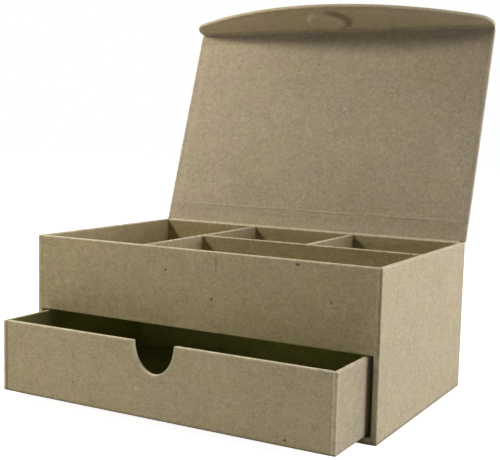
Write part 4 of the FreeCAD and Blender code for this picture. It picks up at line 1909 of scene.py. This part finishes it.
SPECKS = (
    Speck(Ground.DRAWER, -12.2, 20.8, 2.3, 0.2, True),
    Speck(Ground.DRAWER, 83.9, 8.0, 1.5, 1.1),
    Speck(Ground.DRAWER, -58.0, 17.5, 1.0, 0.4),
    Speck(Ground.FRONT, -19.5, 84.3, 1.4, 0.3),
    Speck(Ground.FRONT, 13.2, 69.7, 1.6, 0.8),
    Speck(Ground.FRONT, 69.1, 95.6, 1.9, 0.1),
    Speck(Ground.FRONT, 90.5, 76.1, 1.3, 1.2),
    Speck(Ground.LID, -10.3, -52.4, 1.0, 0.5),
    Speck(Ground.LID, 105.2, -26.8, 0.9, 0.9),
    Speck(Ground.LID, -48.9, 26.3, 0.9, 0.2),
    Speck(Ground.LID, -2.6, 39.4, 0.9, 1.4),
    Speck(Ground.LID, 10.7, 61.0, 1.3, 0.3, True),
    Speck(Ground.LID, -84.9, -33.2, 1.4, 0.7, True),
    Speck(Ground.LID, 16.5, -17.1, 1.5, 0.6, True),
    Speck(Ground.LID, -31.1, -27.3, 1.2, 1.0, True),
)


@dataclass
class Specks:
    """The few larger specks in the papers, each a low lens set into its face."""

    papers: Papers
    place: LidFrame
    slim: float = 0.62
    rise: float = 0.12
    swell: float = 1.35

    def ground(self, speck: Speck) -> Matrix:
        """Return the turn and place of a speck's face, in millimetres."""
        if speck.ground is Ground.LID:
            lid = self.place.placement(self.place.hinge.z)
            spot = Vector(lid.origin) + lid.along * speck.across + lid.up * speck.up
            axes = (lid.along, lid.up, lid.through)
        else:
            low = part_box(speck.ground.value)[0] / MM
            spot = Vector((speck.across, low.y, speck.up))
            axes = (AXIS_WAY["x"], AXIS_WAY["z"], -AXIS_WAY["y"])
        turn = Matrix(axes).transposed().to_4x4()
        return Matrix.Translation(spot) @ turn @ Matrix.Rotation(speck.turn, 4, "Z")

    def build(self) -> None:
        """Build the specks of each face as one piece."""
        riders = {Ground.FRONT: ("case_kraft", "box"), Ground.DRAWER: ("drawer_kraft", "drawer"),
                  Ground.LID: ("lid_kraft", "lid")}
        for ground, (slot, body) in riders.items():
            shell = bmesh.new()
            for speck in (speck for speck in SPECKS if speck.ground is ground):
                length = speck.length * self.swell
                size = Matrix.Diagonal((length, length * self.slim, self.rise, 1.0))
                known = set(shell.faces)
                bmesh.ops.create_icosphere(shell, subdivisions=2, radius=0.5,
                                           matrix=Matrix.Scale(MM, 4) @ self.ground(speck) @ size)
                for face in set(shell.faces) - known:
                    face.material_index = 0 if speck.pale else 1
                    face.smooth = True
            bmesh.ops.recalc_face_normals(shell, faces=shell.faces)
            mesh = bpy.data.meshes.new(f"{body}_specks")
            shell.to_mesh(mesh)
            shell.free()
            mesh.materials.append(self.papers.straw)
            mesh.materials.append(self.papers.bark)
            settle(shown(mesh.name, mesh), slot, body)


@dataclass(frozen=True)
class Panel:
    """A square light panel that faces the box, placed by its direction from it."""

    name: str
    azimuth: float
    elevation: float
    distance: float
    size: float
    power: float
    colour: Colour
    aim: Colour = (0.0, 0.0, 0.12)

    def place(self) -> None:
        """Hang the panel: azimuth 0 is straight in front, and positive ones are to the right."""
        turn, rise = math.radians(self.azimuth), math.radians(self.elevation)
        way = Vector((math.sin(turn) * math.cos(rise), -math.cos(turn) * math.cos(rise), math.sin(rise)))
        data = bpy.data.lights.new(self.name, "AREA")
        data.shape = "SQUARE"
        data.size = self.size
        data.energy = self.power
        data.color = self.colour
        light = shown(self.name, data)
        light.location = Vector(self.aim) + way * self.distance
        light.rotation_euler = way.to_track_quat("Z", "Y").to_euler()


@dataclass
class Studio:
    """The camera, the pale floor and the soft lights."""

    camera_place: Vector = Vector((0.30280, -0.55212, 0.17115))
    camera_forward: Vector = Vector((-0.48231, 0.86950, -0.10656))
    camera_up: Vector = Vector((-0.07332, 0.08114, 0.99400))
    lens: float = 68.959
    sensor: float = 36.0
    ambient: float = 0.03
    ambient_tint: Colour = (1.0, 0.95, 0.82)
    floor_half: float = 4.0
    floor_white: float = 0.78
    floor_glow: float = 0.94
    shadow_reach: float = 0.15
    white_reach: float = 0.55

    def camera(self) -> None:
        """Place the camera at the viewing angle of the picture."""
        data = bpy.data.cameras.new("camera")
        data.lens = self.lens
        data.sensor_width = self.sensor
        data.sensor_fit = "HORIZONTAL"
        data.clip_start = 0.01
        back = -self.camera_forward.normalized()
        right = self.camera_up.cross(back).normalized()
        up = back.cross(right)
        turn = Matrix((right, up, back)).transposed().to_4x4()
        camera = shown("camera", data)
        camera.matrix_world = Matrix.Translation(self.camera_place) @ turn
        bpy.context.scene.camera = camera

    def lights(self) -> None:
        """Hang the panels: a bright one on the right, and softer ones in front, left and above."""
        at_fold = (0.0, 0.1224, 0.2446)
        at_drawer = (0.0, -0.1145, 0.03)
        panels = (
            Panel("right_panel", 103.0, 6.0, 1.5, 1.0, 23.0, (1.0, 0.99, 1.05)),
            Panel("key_panel", -52.0, 26.9, 0.70, 0.14, 3.7, (1.0, 0.92, 0.77), at_fold),
            Panel("low_left_panel", -72.0, 3.0, 0.7, 0.12, 0.25, (1.0, 0.94, 0.80), at_fold),
            Panel("front_fill_panel", -15.0, 1.0, 0.34, 0.24, 0.21, (1.0, 0.93, 0.78), at_drawer),
            Panel("rear_top_panel", 180.0, 78.0, 1.2, 0.35, 4.0, (1.0, 0.97, 0.93)),
        )
        for panel in panels:
            panel.place()

    def world(self) -> None:
        """Make a white surround that lights the box only faintly."""
        world = bpy.data.worlds.new("surround")
        world.use_nodes = True
        tree = world.node_tree
        tree.nodes.clear()
        rays = node_of(tree, "ShaderNodeLightPath").outputs
        seen = arithmetic(tree, "MAXIMUM", rays["Is Camera Ray"], rays["Is Glossy Ray"])
        seen = arithmetic(tree, "MAXIMUM", seen, rays["Is Transmission Ray"])
        inputs = {"Color": (*self.ambient_tint, 1.0), "Strength": self.ambient}
        soft = node_of(tree, "ShaderNodeBackground", inputs)
        white = node_of(tree, "ShaderNodeBackground", {"Color": (1.0, 1.0, 1.0, 1.0)})
        either = node_of(tree, "ShaderNodeMixShader", {0: seen, 1: soft, 2: white})
        node_of(tree, "ShaderNodeOutputWorld", {"Surface": either})
        bpy.context.scene.world = world

    def floor(self) -> None:
        """Lay the pale floor, seen as near white and still holding the box's shadow."""
        half = self.floor_half
        corners = [(-half, -half, 0), (half, -half, 0), (half, half, 0), (-half, half, 0)]
        mesh = bpy.data.meshes.new("floor")
        mesh.from_pydata(corners, [], [(0, 1, 2, 3)])
        material, tree, shader = new_finish("pale_floor")
        shader.inputs["Base Color"].default_value = (self.floor_white,) * 3 + (1.0,)
        shader.inputs["Roughness"].default_value = 1.0
        shader.inputs["Specular IOR Level"].default_value = 0.0
        away = node_of(tree, "ShaderNodeVectorMath", {0: own_place(tree)}, operation="LENGTH")
        inputs = {
            "Value": away.outputs["Value"], "From Min": self.shadow_reach,
            "From Max": self.white_reach, "To Min": self.floor_glow, "To Max": 1.0,
        }
        far = node_of(tree, "ShaderNodeMapRange", inputs, interpolation_type="SMOOTHSTEP")
        glow = node_of(tree, "ShaderNodeEmission", {"Strength": far})
        both = node_of(tree, "ShaderNodeAddShader", {0: shader, 1: glow})
        seen = node_of(tree, "ShaderNodeLightPath").outputs["Is Camera Ray"]
        either = node_of(tree, "ShaderNodeMixShader", {0: seen, 1: shader, 2: both})
        wire(tree, either, tree.nodes["Material Output"].inputs["Surface"])
        mesh.materials.append(material)
        floor = shown("floor", mesh)

    def build(self) -> None:
        """Set the stage."""
        bpy.context.scene.view_settings.view_transform = "Standard"
        self.camera()
        self.lights()
        self.world()
        self.floor()


def main() -> None:
    """Build the jewellery box piece by piece and set the studio round it."""
    logging.basicConfig(level=logging.INFO, format="%(name)s %(message)s")
    papers = Papers()
    place = LidFrame()
    Studio().build()
    case = Case(papers).build()
    drawer = Drawer(papers).build()
    lid = Lid(papers, place).build()
    flap = Flap(papers, place).build()
    Hinges(papers, place).build()
    flecks = Flecks(papers)
    hidden = ("base_board_wrapped", "tray_floor_wrapped", "drawer_bottom_wrapped")
    for body, slot, pieces in (
        ("box", "case_kraft", case),
        ("drawer", "drawer_kraft", drawer),
        ("lid", "lid_kraft", lid),
        ("flap", "lid_kraft", flap),
    ):
        flecks.strew(body, slot, [piece for piece in pieces if piece.name not in hidden])
    Specks(papers, place).build()


if __name__ == "__main__":
    main()
